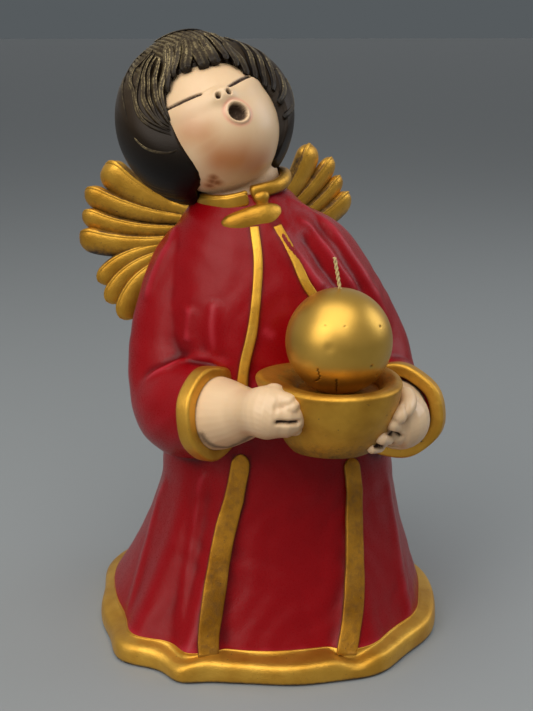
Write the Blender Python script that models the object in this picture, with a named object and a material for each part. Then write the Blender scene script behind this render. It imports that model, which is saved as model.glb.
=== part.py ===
# A hollow ceramic angel that sings with its face turned up and holds a ball candle in a bowl.
# Metres, +Z up, the front towards -Y, and the origin under the middle of the whole figure.

import math

import bmesh
import bpy
from mathutils import Matrix, Vector

# Hem and skirt
HEM_WIDTH = 0.189
HEM_HEIGHT = 0.0115
HEM_LEDGE = 0.0095
HEM_ROUNDING = 0.0015
HEM_CREST = 0.004
HEM_OVERLAP = 0.006
WAIST_HEIGHT = 0.084
WAIST_WIDTH = 0.125
WAIST_DEPTH = 0.116
SHOULDER_HEIGHT = 0.216
ROBE_START = 0.004
ROBE_TOP_RISE = 0.0165

# Casting
WALL = 0.005
FLOOR_THICKNESS = 0.006
VENT_DIAMETER = 0.022
FOOT_RING_WIDTH = 0.013
FOOT_RECESS_DEPTH = 0.002
HOLLOW_TOP_RISE = 0.010
NECK_PASSAGE_WIDTH = 0.022

# Coat front
COAT_STEP = 0.0055
STRIP_THICKNESS = 0.0016

# Sleeves
CUFF_LENGTH = 0.009
CUFF_RISE = 0.0014
CUFF_LIP = 0.0036
CUFF_RECESS = 0.009
CUFF_ROUNDING = 0.002

# Head
HAIR_WIDTH = 0.092
HAIR_HEIGHT = 0.0895
HAIR_DEPTH = 0.094
FACE_WIDTH = 0.063
FACE_DEPTH = 0.062
FOREHEAD_HEIGHT = 0.040
CHIN_DROP = 0.033
NECK_WIDTH = 0.036
NECK_FLARE = 0.004
NECK_ROOT = 0.018
MOUTH_WIDTH = 0.0102
MOUTH_DEPTH = 0.006
LOCK_DEPTH = 0.0016

# Collar and toggle
COLLAR_WIDTH = 0.0470
COLLAR_HEIGHT = 0.007
COLLAR_THICKNESS = 0.0036
COLLAR_ROUNDING = 0.001
COLLAR_ROOT = 0.004
TOGGLE_LENGTH = 0.034
TOGGLE_HEIGHT = 0.0122
TOGGLE_RISE = 0.005
TOGGLE_STAND_OFF = 0.0025

# Wings
WING_SWEEP = 25.0
WING_LIFTS = (0.0, 22.0)
FEATHER_THICKNESS = 0.0095

# Bowl
BOWL_WIDTH = 0.066
BOWL_DEPTH = 0.0355
BOWL_RIM_DROP = 0.0625
RIM_WIDTH = 0.0045
RIM_ROUNDING = 0.0010
DISH_DEPTH = 0.0063
DISH_SLOPE = 0.0045

# Candle
BALL_DIAMETER = 0.050
BALL_FLAT = 0.016
WICK_DIAMETER = 0.002
WICK_REACH = 0.015
WICK_LEAN = 0.0028
CLEARANCE = 0.0003

# Places
HEAD_CENTRE = Vector((-0.029, 0.0134, SHOULDER_HEIGHT + 0.0523))
FACE_OFFSET = Vector((-0.0015, -0.0049, -0.0136))
HEAD_TILT, HEAD_TURN, HEAD_NOD = 17.2, 12.2, 44.6
NECK_CENTRE = Vector((-0.013, 0.003, SHOULDER_HEIGHT + 0.024))
COLLAR_CENTRE = Vector((-0.0125, 0.003, SHOULDER_HEIGHT + 0.0175))
COLLAR_LEAN = 10.0
BOWL_CENTRE = Vector((0.0149, -0.080, SHOULDER_HEIGHT - BOWL_RIM_DROP))
WING_ROOTS = (
    Vector((-0.027, 0.041, SHOULDER_HEIGHT - 0.003)),
    Vector((0.0045, 0.041, SHOULDER_HEIGHT - 0.012)),
)

# Skirt folds: degrees round from the front, half spread in degrees, rise at the hem
FOLDS = (
    (-118, 14, 0.0045),
    (-62, 9, 0.0095),
    (-40, 6, 0.0070),
    (21, 11, 0.0065),
    (50, 12, 0.0035),
    (86, 12, 0.0025),
    (132, 14, 0.0040),
    (165, 15, 0.0035),
    (-165, 14, 0.0035),
)
HEM_FOLD_SHARE = 0.75
HEM_WAVES = (
    (-132, 12, 0.0020),
    (-106, 14, -0.0040),
    (-19, 13, -0.0030),
    (84, 12, -0.0015),
    (116, 27, -0.0060),
)

# Upper body sections: share of the way from waist to shoulder, half width, half depth, centre x, y
TORSO = (
    (0.20, 0.0600, 0.055, 0.004, 0.000),
    (0.46, 0.0590, 0.052, 0.000, 0.000),
    (0.69, 0.0560, 0.048, -0.002, 0.000),
    (0.88, 0.0480, 0.041, -0.004, 0.002),
    (1.00, 0.0370, 0.034, -0.008, 0.003),
    (1.08, 0.0280, 0.027, -0.010, 0.004),
    (1.13, 0.0230, 0.023, -0.012, 0.004),
)
WAIST_SHIFT = (0.006, -0.0015)

# Coat edges: share of the shoulder height, degrees round from the front, strip width
LEFT_EDGE = (
    (0.055, -33.5, 0.0100),
    (0.13, -35.5, 0.0115),
    (0.32, -36.5, 0.0105),
    (0.495, -29.0, 0.0090),
    (0.682, -23.5, 0.0060),
    (0.787, -17.5, 0.0055),
    (0.90, -12.8, 0.0050),
    (1.02, -8.0, 0.0050),
)
RIGHT_EDGE = (
    (0.055, 13.0, 0.0100),
    (0.16, 18.0, 0.0110),
    (0.30, 22.5, 0.0105),
    (0.467, 26.0, 0.0095),
    (0.65, 24.0, 0.0060),
    (0.823, 19.5, 0.0055),
    (0.90, 13.0, 0.0052),
    (1.02, 10.5, 0.0050),
)

# Sleeve centres: x, y, drop below the shoulder, radius
LEFT_SLEEVE = (
    (-0.0220, 0.006, 0.002, 0.0140),
    (-0.0330, 0.006, 0.018, 0.0225),
    (-0.0400, 0.005, 0.040, 0.0265),
    (-0.0450, 0.001, 0.068, 0.0285),
    (-0.0475, -0.012, 0.087, 0.0270),
    (-0.0475, -0.030, 0.089, 0.0252),
    (-0.0440, -0.0478, 0.085, 0.0235),
)
RIGHT_SLEEVE = (
    (0.0120, 0.000, 0.002, 0.0140),
    (0.0240, -0.002, 0.018, 0.0225),
    (0.0340, -0.002, 0.040, 0.0270),
    (0.0480, 0.000, 0.070, 0.0295),
    (0.0525, -0.014, 0.091, 0.0280),
    (0.0550, -0.034, 0.094, 0.0245),
    (0.0540, -0.055, 0.087, 0.0215),
)
LEFT_CUFF_AXIS = Vector((0.657, -0.751, 0.10))
RIGHT_CUFF_AXIS = Vector((-0.565, -0.817, 0.10))

# Feathers of a wing: root, bend and tip as outward and upward distances, half width
FEATHERS = (
    ((-0.004, 0.002), (0.034, 0.004), (0.0520, 0.029), 0.0075),
    ((-0.004, -0.001), (0.037, -0.004), (0.0635, 0.014), 0.0060),
    ((-0.004, -0.005), (0.042, -0.014), (0.0660, 0.002), 0.0055),
    ((-0.004, -0.009), (0.042, -0.023), (0.0680, -0.010), 0.0066),
    ((-0.002, -0.014), (0.043, -0.018), (0.0570, -0.037), 0.0062),
    ((-0.002, -0.017), (0.041, -0.022), (0.0530, -0.048), 0.0055),
    ((-0.002, -0.020), (0.038, -0.024), (0.0450, -0.057), 0.0056),
)

# Stump of a wing: place from the wing's root, away from the middle; then height and radius of its sections
WING_STUMP_PLACE = (-0.004, -0.006, -0.008)
WING_STUMP = ((0.014, 0.008), (0.004, 0.012), (-0.008, 0.012), (-0.018, 0.008))

# Toggle knot: place from the toggle's middle, and radius
TOGGLE_KNOT = (
    (0.003, 0.001, 0.000, 0.0050),
    (0.003, 0.001, 0.007, 0.0042),
    (0.004, 0.003, 0.013, 0.0040),
)

# Lower edge of the hair: degrees round the head from the nose, degrees up from the level
HAIRLINE = (
    (-180, -74), (-80, -72), (-66, -66), (-61, -56), (-57, -43),
    (-54, -31), (-49, -19), (-44, -4), (-37, 8), (-30, 16),
    (-20, 15), (-7, 13), (4, 8), (14, 8), (22, 10),
    (28, 5), (34, -4), (42, -12), (49, -18), (56, -27),
    (61, -38), (65, -52), (70, -64), (80, -72), (180, -74),
)
HAIR_FLAT = 0.0095
LOCK_COUNT = 12
LOCK_SPAN = 56.0

# Underside of the hair: degrees below its edge, distance from the head's middle
HAIR_UNDERSIDE = ((2.0, 0.030), (8.0, 0.022))

# Face features, in degrees round from the nose and up from the level of the face's centre
EYE_INNER, EYE_OUTER = (13, 0.0), (50, 13)
NOSE = (-0.5, -8.5)
NOSTRILS = ((-5.5, -9.5), (4.5, -9.5))
MOUTH = (2.0, -28.3)
NOSE_WIDTH = 0.012
NOSTRIL_WIDTH = 0.0024
EYE_SLIT = 0.0016
LIP_WIDTH = 0.0035
LIP_RISE = 0.0012
NOSE_RISE = 0.0032
EYE_DEPTH = 0.0012
FEATURE_ROOT = 0.003

# Hands: widths of the forearm, wrist and palm, and drops of the palms below the bowl's rim
FOREARM_WIDTH = 0.0356
RIGHT_FOREARM_WIDTH = 0.0330
WRIST_WIDTH = 0.0264
PALM_WIDTH = 0.0300
LEFT_PALM_DROP = 0.0130
RIGHT_PALM_DROP = 0.0235
ARM_REACH = 0.006
LEFT_ARM_ROOT = 0.008
RIGHT_ARM_ROOT = 0.010
WRIST_LIFT = 0.001
PALM_STAND_OFF = 0.006
FINGER_STAND_OFF = 0.002

# Fingers: rise over the palm's middle, thickness, degrees round the bowl that the tip reaches
LEFT_FINGERS = (
    (0.0120, 0.0108, -52),
    (0.0035, 0.0084, -50),
    (-0.0040, 0.0080, -51),
    (-0.0105, 0.0072, -54),
)
RIGHT_FINGERS = (
    (0.0140, 0.0096, 62),
    (0.0062, 0.0084, 50),
    (-0.0015, 0.0080, 42),
    (-0.0085, 0.0072, 40),
)


def clear_scene():
    for item in list(bpy.data.objects):
        bpy.data.objects.remove(item, do_unlink=True)


def paint(name, colour, roughness, metallic=0.0):
    material = bpy.data.materials.new(name)
    material.use_nodes = True
    shader = material.node_tree.nodes["Principled BSDF"]
    shader.inputs["Base Color"].default_value = (*colour, 1.0)
    shader.inputs["Roughness"].default_value = roughness
    shader.inputs["Metallic"].default_value = metallic
    material.diffuse_color = (*colour, 1.0)
    return material


def mesh_object(name, bm, materials):
    bmesh.ops.recalc_face_normals(bm, faces=bm.faces)
    mesh = bpy.data.meshes.new(name)
    bm.to_mesh(mesh)
    bm.free()
    mesh.shade_smooth()
    for material in materials:
        mesh.materials.append(material)
    item = bpy.data.objects.new(name, mesh)
    bpy.context.scene.collection.objects.link(item)
    return item


def loft(name, rings, materials, painted=()):
    """A closed skin over rings of equal length, with a flat end at each side.

    painted gives the material number of each band between two rings."""
    bm = bmesh.new()
    loops = [[bm.verts.new(point) for point in ring] for ring in rings]
    count = len(rings[0])
    for row, (low, high) in enumerate(zip(loops, loops[1:])):
        for i in range(count):
            j = (i + 1) % count
            face = bm.faces.new((low[i], low[j], high[j], high[i]))
            face.material_index = painted[row] if painted else 0
    for loop, number in ((loops[0], 0), (loops[-1], -1)):
        face = bm.faces.new(loop)
        face.material_index = painted[number] if painted else 0
    return mesh_object(name, bm, materials)


def smooth_rows(rows, steps):
    """Rows of numbers read along a smooth curve through the given rows, steps to each stretch."""
    ends = [rows[0], *rows, rows[-1]]
    found = []
    for p0, p1, p2, p3 in zip(ends, ends[1:], ends[2:], ends[3:]):
        for step in range(steps):
            t = step / steps
            found.append(tuple(
                0.5 * (2 * b + (c - a) * t + (2 * a - 5 * b + 4 * c - d) * t * t
                       + (3 * b - a - 3 * c + d) * t ** 3)
                for a, b, c, d in zip(p0, p1, p2, p3)))
    found.append(tuple(rows[-1]))
    return found


def between(rows, at):
    """The rest of a row, read straight between the rows whose first numbers lie round a value."""
    if at <= rows[0][0]:
        return rows[0][1:]
    for low, high in zip(rows, rows[1:]):
        if at <= high[0]:
            share = (at - low[0]) / (high[0] - low[0])
            return tuple(a + (b - a) * share for a, b in zip(low[1:], high[1:]))
    return rows[-1][1:]


def ease(low, high, value):
    share = min(max((value - low) / (high - low), 0.0), 1.0)
    return share * share * (3 - 2 * share)


def turned(angle):
    """An angle in degrees brought into the half circle on each side of the front."""
    return (angle + 180) % 360 - 180


def waves(rows, angle):
    """The rises of all the folds in a list, at an angle round from the front."""
    return sum(rise * math.exp(-(turned(angle - at) / half) ** 2) for at, half, rise in rows)


def skirt_base_half():
    return HEM_WIDTH / 2 - HEM_LEDGE


def torso_rows():
    rows = [(0.0, WAIST_WIDTH / 2, WAIST_DEPTH / 2, *WAIST_SHIFT), *TORSO]
    return smooth_rows(rows, 4)


TORSO_ROWS = torso_rows()


def section(height):
    """Half width, half depth and centre of the robe at a height, before its folds."""
    if height >= WAIST_HEIGHT:
        share = (height - WAIST_HEIGHT) / (SHOULDER_HEIGHT - WAIST_HEIGHT)
        return between(TORSO_ROWS, share)
    up = min(max((height - HEM_HEIGHT) / (WAIST_HEIGHT - HEM_HEIGHT), 0.0), 1.0)
    flare = (1 - up) ** 1.45
    wide = WAIST_WIDTH / 2 + (skirt_base_half() - WAIST_WIDTH / 2) * flare
    deep = WAIST_DEPTH / 2 + (skirt_base_half() - WAIST_DEPTH / 2) * flare
    return wide, deep, WAIST_SHIFT[0] * (1 - flare), WAIST_SHIFT[1] * (1 - flare)


LEFT_EDGE_ROWS = smooth_rows(LEFT_EDGE, 3)
RIGHT_EDGE_ROWS = smooth_rows(RIGHT_EDGE, 3)


def robe_point(angle, height, out=0.0):
    """A point on the robe, by degrees round from the front and height, moved outwards."""
    wide, deep, shift_x, shift_y = section(height)
    fade = max(0.0, 1 - height / (1.25 * WAIST_HEIGHT)) ** 1.2
    share = height / SHOULDER_HEIGHT
    left, right = between(LEFT_EDGE_ROWS, share)[0], between(RIGHT_EDGE_ROWS, share)[0]
    inside = ease(left, left + 5, turned(angle)) * ease(-right, 5 - right, -turned(angle))
    step = COAT_STEP * (0.25 + 0.75 * fade) * (1 - ease(0.75, 1.0, share))
    rise = waves(FOLDS, angle) * fade - step * inside + out
    turn = math.radians(angle)
    x = shift_x + math.sin(turn) * (wide + rise)
    y = shift_y - math.cos(turn) * (deep + rise)
    return Vector((x, y, height))


def ring_angles(count):
    return [360 * i / count - 180 for i in range(count)]


def robe_rings(heights, angles, out=0.0):
    return [[robe_point(angle, height, out) for angle in angles] for height in heights]


def spread(low, high, count):
    return [low + (high - low) * i / (count - 1) for i in range(count)]


def make_robe(red):
    top = SHOULDER_HEIGHT + ROBE_TOP_RISE
    heights = spread(ROBE_START, WAIST_HEIGHT, 7)[:-1] + spread(WAIST_HEIGHT, top, 10)
    return loft("angel_figure", robe_rings(heights, ring_angles(64)), [red])


def make_hem(gold):
    """The thick gold rim that the skirt spreads into, with a soft outer edge."""
    outline = (
        (0.0, -HEM_ROUNDING),
        (HEM_ROUNDING, 0.0),
        (HEM_HEIGHT - HEM_CREST, 0.0),
        (HEM_HEIGHT - HEM_ROUNDING * 0.7, -HEM_ROUNDING),
        (HEM_HEIGHT, -HEM_CREST),
        (HEM_HEIGHT - HEM_ROUNDING * 0.3, -HEM_LEDGE - HEM_OVERLAP),
    )
    rings = []
    for height, inset in outline:
        ring = []
        for angle in ring_angles(76):
            rise = HEM_FOLD_SHARE * waves(FOLDS, angle) + waves(HEM_WAVES, angle)
            reach = HEM_WIDTH / 2 + rise + inset
            turn = math.radians(angle)
            ring.append(Vector((math.sin(turn) * reach, -math.cos(turn) * reach, height)))
        rings.append(ring)
    return loft("hem", rings, [gold])


def strip(name, rows, top, gold):
    """A gold band that lies along a coat edge, from the hem up to the collar."""
    rings = []
    for share, angle, width in smooth_rows(rows, 2):
        height = min(share * SHOULDER_HEIGHT, top)
        middle = robe_point(angle, height)
        side = robe_point(angle + 1, height) - robe_point(angle - 1, height)
        side.z = 0
        side.normalize()
        outward = Vector((side.y, -side.x, 0))
        section_points = (
            (-0.5, -2.2), (-0.5, 0.15), (-0.3, 1.0), (0.3, 1.0), (0.5, 0.15), (0.5, -2.2),
        )
        rings.append([
            middle + side * (across * width) + outward * (up * STRIP_THICKNESS)
            for across, up in section_points])
    return loft(name, rings, [gold])


def tube_rings(rows, corners, end_axis=None):
    """Rings square to a path of centres with a radius each, and the frame at its last centre."""
    centres = [Vector(row[:3]) for row in rows]
    rings = []
    for i, row in enumerate(rows):
        along = centres[min(i + 1, len(rows) - 1)] - centres[max(i - 1, 0)]
        along.normalize()
        if end_axis is not None:
            pull = ease(0.6, 1.0, i / (len(rows) - 1))
            along = (along * (1 - pull) + end_axis.normalized() * pull).normalized()
        rings.append(ring_about(centres[i], along, row[3], corners))
    return rings


def ring_about(centre, along, radius, corners):
    side = (Vector((1, 0, 0)) - along * along.x).normalized()
    upright = along.cross(side)
    points = []
    for i in range(corners):
        turn = 2 * math.pi * i / corners
        points.append(centre + (side * math.cos(turn) + upright * math.sin(turn)) * radius)
    return points


def sleeve_path(rows, steps):
    return [(x, y, SHOULDER_HEIGHT - drop, radius) for x, y, drop, radius in smooth_rows(rows, steps)]


def make_sleeve(name, rows, axis, red, gold):
    """A bell sleeve with a raised gold cuff, whose mouth is sunk round the wrist."""
    axis = axis.normalized()
    path = sleeve_path(rows, 2)
    corners = 18
    rings = tube_rings(path, corners, axis)
    x, y, z, radius = path[-1]
    end = Vector((x, y, z))
    painted = [0] * (len(rings) - 1)
    cuff = (
        (CUFF_ROUNDING * 0.4, CUFF_RISE),
        (CUFF_LENGTH - CUFF_ROUNDING, CUFF_RISE),
        (CUFF_LENGTH, 0.0),
        (CUFF_LENGTH, -CUFF_LIP * 0.7),
        (CUFF_LENGTH - CUFF_ROUNDING * 0.75, -CUFF_LIP),
        (CUFF_LENGTH - CUFF_RECESS, -CUFF_LIP),
    )
    for forward, rise in cuff:
        centre = end + axis * (forward - CUFF_LENGTH / 2)
        rings.append(ring_about(centre, axis, radius + rise, corners))
        painted.append(1)
    return loft(name, rings, [red, gold], painted)


def bowl_radius(height):
    """Outer radius of the bowl at a height above the table."""
    foot = BOWL_CENTRE.z - BOWL_DEPTH
    share = min(max((height - foot) / BOWL_DEPTH, 0.0), 1.0)
    return BOWL_WIDTH / 2 * (0.48 + 0.52 * math.sin(math.pi / 2 * share ** 0.72))


def bowl_place(angle, height, out=0.0):
    """A point beside the bowl, by degrees round from the bowl's front."""
    turn = math.radians(angle)
    reach = bowl_radius(height) + out
    x = BOWL_CENTRE.x + math.sin(turn) * reach
    y = BOWL_CENTRE.y - math.cos(turn) * reach
    return Vector((x, y, height))


def lathe(name, outline, centre, corners, materials):
    """A turned solid from an outline of radius and height pairs, closed at both ends."""
    rings = []
    for radius, height in outline:
        rings.append([
            Vector((centre.x + radius * math.sin(2 * math.pi * i / corners),
                    centre.y - radius * math.cos(2 * math.pi * i / corners), height))
            for i in range(corners)])
    return loft(name, rings, materials)


def make_bowl(gold):
    rim = BOWL_CENTRE.z
    foot = rim - BOWL_DEPTH
    outline = [(bowl_radius(height), height) for height in spread(foot, rim - 3 * RIM_ROUNDING, 6)]
    half = BOWL_WIDTH / 2
    outline += [
        (half, rim - RIM_ROUNDING * 1.2),
        (half - RIM_ROUNDING, rim),
        (half - RIM_WIDTH + RIM_ROUNDING * 0.8, rim),
        (half - RIM_WIDTH, rim - RIM_ROUNDING),
        (half - RIM_WIDTH - DISH_SLOPE / 2, rim - DISH_DEPTH + RIM_ROUNDING * 1.5),
        (half - RIM_WIDTH - DISH_SLOPE, rim - DISH_DEPTH),
    ]
    return lathe("bowl", outline, BOWL_CENTRE, 32, [gold])


def blob(name, rows, corners, materials, end_axis=None):
    """A rounded limb along a path of centres with a radius each."""
    first, last = rows[0], rows[-1]
    start = tuple(a - (b - a) * 0.12 for a, b in zip(first[:3], rows[1][:3]))
    close = tuple(a + (a - b) * 0.12 for a, b in zip(last[:3], rows[-2][:3]))
    rounded = [(*start, first[3] * 0.55), *rows, (*close, last[3] * 0.55)]
    return loft(name, tube_rings(rounded, corners, end_axis), materials)


def sleeve_end(rows):
    x, y, drop = rows[-1][:3]
    return Vector((x, y, SHOULDER_HEIGHT - drop))


def make_fingers(name, rows, palm_height, start, skin):
    forms = []
    for number, (rise, thick, reach) in enumerate(rows):
        height = palm_height + rise
        angles = spread(start, reach, 4)
        path = [(*bowl_place(angle, height, FINGER_STAND_OFF), thick / 2) for angle in angles]
        forms.append(blob(f"{name}_{number}", path, 8, [skin]))
    return forms


def make_left_hand(skin):
    """The forearm out of the cuff, a broad palm at the bowl's side, and four short fingers."""
    palm_height = BOWL_CENTRE.z - LEFT_PALM_DROP
    cuff = sleeve_end(LEFT_SLEEVE)
    palm = bowl_place(-72, palm_height, PALM_STAND_OFF)
    wrist = cuff.lerp(palm, 0.55) + Vector((WRIST_LIFT, WRIST_LIFT, WRIST_LIFT))
    rows = [
        (*(cuff - LEFT_CUFF_AXIS * LEFT_ARM_ROOT), FOREARM_WIDTH / 2),
        (*(cuff + LEFT_CUFF_AXIS * ARM_REACH), FOREARM_WIDTH / 2),
        (*wrist, WRIST_WIDTH / 2),
        (*palm, PALM_WIDTH / 2),
        (*bowl_place(-60, palm_height, FINGER_STAND_OFF / 2), PALM_WIDTH * 0.4),
    ]
    arm = blob("left_arm", smooth_rows(rows, 2), 14, [skin])
    return [arm, *make_fingers("left_finger", LEFT_FINGERS, palm_height, -76, skin)]


def make_right_hand(skin):
    """The hand that comes out of the right cuff and cups the bowl's far side from below."""
    palm_height = BOWL_CENTRE.z - RIGHT_PALM_DROP
    cuff = sleeve_end(RIGHT_SLEEVE)
    rows = [
        (*(cuff - RIGHT_CUFF_AXIS * RIGHT_ARM_ROOT), RIGHT_FOREARM_WIDTH / 2),
        (*(cuff + RIGHT_CUFF_AXIS * ARM_REACH), RIGHT_FOREARM_WIDTH / 2),
        (*bowl_place(88, palm_height, PALM_STAND_OFF), PALM_WIDTH / 2),
        (*bowl_place(74, palm_height, FINGER_STAND_OFF), PALM_WIDTH * 0.4),
    ]
    arm = blob("right_arm", smooth_rows(rows, 2), 14, [skin])
    return [arm, *make_fingers("right_finger", RIGHT_FINGERS, palm_height, 88, skin)]


def head_turn():
    """The turn from the head's own frame, face towards -Y, to the figure's."""
    tilt = Matrix.Rotation(math.radians(-HEAD_TILT), 3, "Y")
    turn = Matrix.Rotation(math.radians(HEAD_TURN), 3, "Z")
    nod = Matrix.Rotation(math.radians(-HEAD_NOD), 3, "X")
    return tilt @ turn @ nod


HEAD_FRAME = head_turn()
FACE_CENTRE = HEAD_CENTRE + HEAD_FRAME @ FACE_OFFSET


def direction(azimuth, elevation):
    """A unit vector in the head's own frame, by degrees round from the nose and up."""
    side, up = math.radians(azimuth), math.radians(elevation)
    return Vector((math.sin(side) * math.cos(up), -math.cos(side) * math.cos(up), math.sin(up)))


def ellipsoid_reach(towards, wide, deep, high):
    """Distance from an ellipsoid's middle to its surface along a unit vector, from its half sizes."""
    return 1 / math.sqrt((towards.x / wide) ** 2 + (towards.y / deep) ** 2 + (towards.z / high) ** 2)


def face_place(azimuth, elevation, out=0.0):
    towards = direction(azimuth, elevation)
    high = FOREHEAD_HEIGHT if elevation > 0 else CHIN_DROP
    reach = ellipsoid_reach(towards, FACE_WIDTH / 2, FACE_DEPTH / 2, high) + out
    return FACE_CENTRE + HEAD_FRAME @ (towards * reach)


def make_face(skin):
    rings = []
    for elevation in spread(-86, 86, 12):
        rings.append([face_place(azimuth, elevation) for azimuth in ring_angles(24)])
    return loft("face", rings, [skin])


def hair_reach(azimuth, elevation):
    """Distance from the hair's middle to its outside, flatter over the forehead and beside the face."""
    towards = direction(azimuth, elevation)
    ball = ellipsoid_reach(towards, HAIR_WIDTH / 2, HAIR_DEPTH / 2, HAIR_HEIGHT / 2)
    side = 1 - ease(44, 74, abs(azimuth))
    height = (1 - ease(14, 60, elevation)) * (1 - ease(5, 56, -elevation))
    return ball - HAIR_FLAT * side * height


def hairline(azimuth):
    return between(HAIRLINE, azimuth)[0]


def lock_wave(azimuth):
    """Rise and fall across the locks of the fringe, from 1 on a lock to 0 between two."""
    if abs(azimuth) > LOCK_SPAN:
        return 0.5
    return abs(math.cos(math.pi * azimuth * LOCK_COUNT / (2 * LOCK_SPAN)))


def hair_columns():
    """Azimuths of the hair's columns: four to a lock round the face, wider apart behind."""
    step = 2 * LOCK_SPAN / LOCK_COUNT / 4
    front = [-LOCK_SPAN + step * i for i in range(LOCK_COUNT * 4 + 1)]
    behind = spread(LOCK_SPAN, 360 - LOCK_SPAN, 16)[1:-1]
    return front + behind


def make_hair(brown):
    """A bowl cut that sits on the head as one thick shell, its fringe in rounded locks."""
    columns = [turned(azimuth) for azimuth in hair_columns()]
    rings = []
    for share in spread(0.05, 1.0, 10):
        ring = []
        for azimuth in columns:
            wave = lock_wave(azimuth)
            edge = hairline(azimuth) - 3.0 * wave * (1 - ease(34, 44, abs(azimuth)))
            elevation = 90 + (edge - 90) * share
            groove = LOCK_DEPTH * (wave - 1) * ease(0.35, 1.0, share)
            reach = hair_reach(azimuth, elevation) + groove
            ring.append(HEAD_CENTRE + HEAD_FRAME @ (direction(azimuth, elevation) * reach))
        rings.append(ring)
    for drop, reach in HAIR_UNDERSIDE:
        rings.append([
            HEAD_CENTRE + HEAD_FRAME @ (direction(azimuth, max(hairline(azimuth) - drop, -86)) * reach)
            for azimuth in columns])
    return loft("hair", rings, [brown])


def make_neck(skin):
    top = HEAD_CENTRE.lerp(FACE_CENTRE, 0.7)
    half = NECK_WIDTH / 2
    rows = [
        (*(NECK_CENTRE - Vector((0, 0, NECK_ROOT))), half + NECK_FLARE),
        (*(NECK_CENTRE - Vector((0, 0, NECK_ROOT * 0.4))), half + NECK_FLARE),
        (*(NECK_CENTRE + Vector((0, 0, NECK_ROOT * 0.1))), half),
        (*NECK_CENTRE.lerp(top, 0.6), half),
    ]
    return loft("neck", tube_rings(smooth_rows(rows, 2), 18), [skin])


def feature_frame(azimuth, elevation):
    """Side, up and outward directions at a place on the face."""
    outward = (HEAD_FRAME @ direction(azimuth, elevation)).normalized()
    side = (HEAD_FRAME @ Vector((1, 0, 0))).normalized()
    side = (side - outward * side.dot(outward)).normalized()
    return side, outward.cross(side), outward


def feature_rings(place, outline, corners, squash=1.0):
    """Rings about a place on the face, from radius and outward pairs."""
    side, up, outward = feature_frame(*place)
    middle = face_place(*place)
    rings = []
    for radius, out in outline:
        rings.append([
            middle + outward * out
            + side * (radius * math.cos(2 * math.pi * i / corners))
            + up * (squash * radius * math.sin(2 * math.pi * i / corners))
            for i in range(corners)])
    return rings


def make_face_details(skin):
    half = MOUTH_WIDTH / 2
    lips = (
        (half + LIP_WIDTH, -FEATURE_ROOT),
        (half + LIP_WIDTH * 0.85, LIP_RISE * 0.2),
        (half + LIP_WIDTH * 0.45, LIP_RISE),
        (half - LIP_WIDTH * 0.3, LIP_RISE * 0.7),
        (half - LIP_WIDTH * 0.3, -FEATURE_ROOT),
    )
    side = NOSE_WIDTH / 2
    nose = (
        (side, -FEATURE_ROOT),
        (side * 0.87, NOSE_RISE * 0.12),
        (side * 0.6, NOSE_RISE * 0.75),
        (side * 0.2, NOSE_RISE),
    )
    return [
        loft("lips", feature_rings(MOUTH, lips, 16), [skin]),
        loft("nose", feature_rings(NOSE, nose, 12, 0.75), [skin]),
    ]


def make_face_cuts(skin):
    """Open mouth, two nostrils and the two grooves of the closed eyes."""
    half = MOUTH_WIDTH / 2
    mouth = (
        (half * 0.6, -MOUTH_DEPTH),
        (half * 0.9, -MOUTH_DEPTH * 0.6),
        (half, LIP_RISE / 3),
        (half + LIP_WIDTH / 4, LIP_RISE * 3),
    )
    cuts = [loft("mouth_cut", feature_rings(MOUTH, mouth, 16), [skin])]
    for number, place in enumerate(NOSTRILS):
        side = NOSTRIL_WIDTH / 2
        outline = ((side * 0.7, -side), (side, side), (side * 1.15, side * 5))
        cuts.append(loft(f"nostril_cut_{number}", feature_rings(place, outline, 8, 1.3), [skin]))
    for number, way in enumerate((-1, 1)):
        rings = []
        for share in spread(0, 1, 8):
            azimuth = way * (EYE_INNER[0] + (EYE_OUTER[0] - EYE_INNER[0]) * share)
            droop = 2.0 * math.sin(math.pi * share)
            elevation = EYE_INNER[1] + (EYE_OUTER[1] - EYE_INNER[1]) * share - droop
            _, up, outward = feature_frame(azimuth, elevation)
            middle = face_place(azimuth, elevation)
            wide = EYE_SLIT / 2 * (0.35 + 0.65 * math.sin(math.pi * min(share + 0.15, 1.0)) ** 0.5)
            rings.append([
                middle - outward * EYE_DEPTH,
                middle + up * wide + outward * (EYE_DEPTH * 1.7),
                middle - up * wide + outward * (EYE_DEPTH * 1.7)])
        cuts.append(loft(f"eye_cut_{number}", rings, [skin]))
    return cuts


def make_collar(gold):
    """A standing collar, open at the front, on its own slight lean."""
    lean = Matrix.Rotation(math.radians(-COLLAR_LEAN), 3, "Y") @ Matrix.Rotation(math.radians(6), 3, "X")
    lean = Matrix.Rotation(math.radians(-14), 3, "Z") @ lean
    half = COLLAR_WIDTH / 2
    thick = COLLAR_THICKNESS / 2
    rise = COLLAR_HEIGHT / 2
    section_points = (
        (-thick, -rise - COLLAR_ROOT),
        (-thick, rise - COLLAR_ROUNDING),
        (-thick * 0.4, rise),
        (thick * 0.5, rise),
        (thick, rise - COLLAR_ROUNDING),
        (thick * 1.1, -rise + COLLAR_ROUNDING),
        (thick * 0.6, -rise),
        (thick * 0.4, -rise - COLLAR_ROOT),
    )
    rings = []
    for angle in spread(17, 371, 21):
        turn = math.radians(angle)
        ring = []
        for out, up in section_points:
            reach = half + out
            local = Vector((math.sin(turn) * reach, -math.cos(turn) * reach * 1.04, up))
            ring.append(COLLAR_CENTRE + lean @ local)
        rings.append(ring)
    return loft("collar", rings, [gold])


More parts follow.
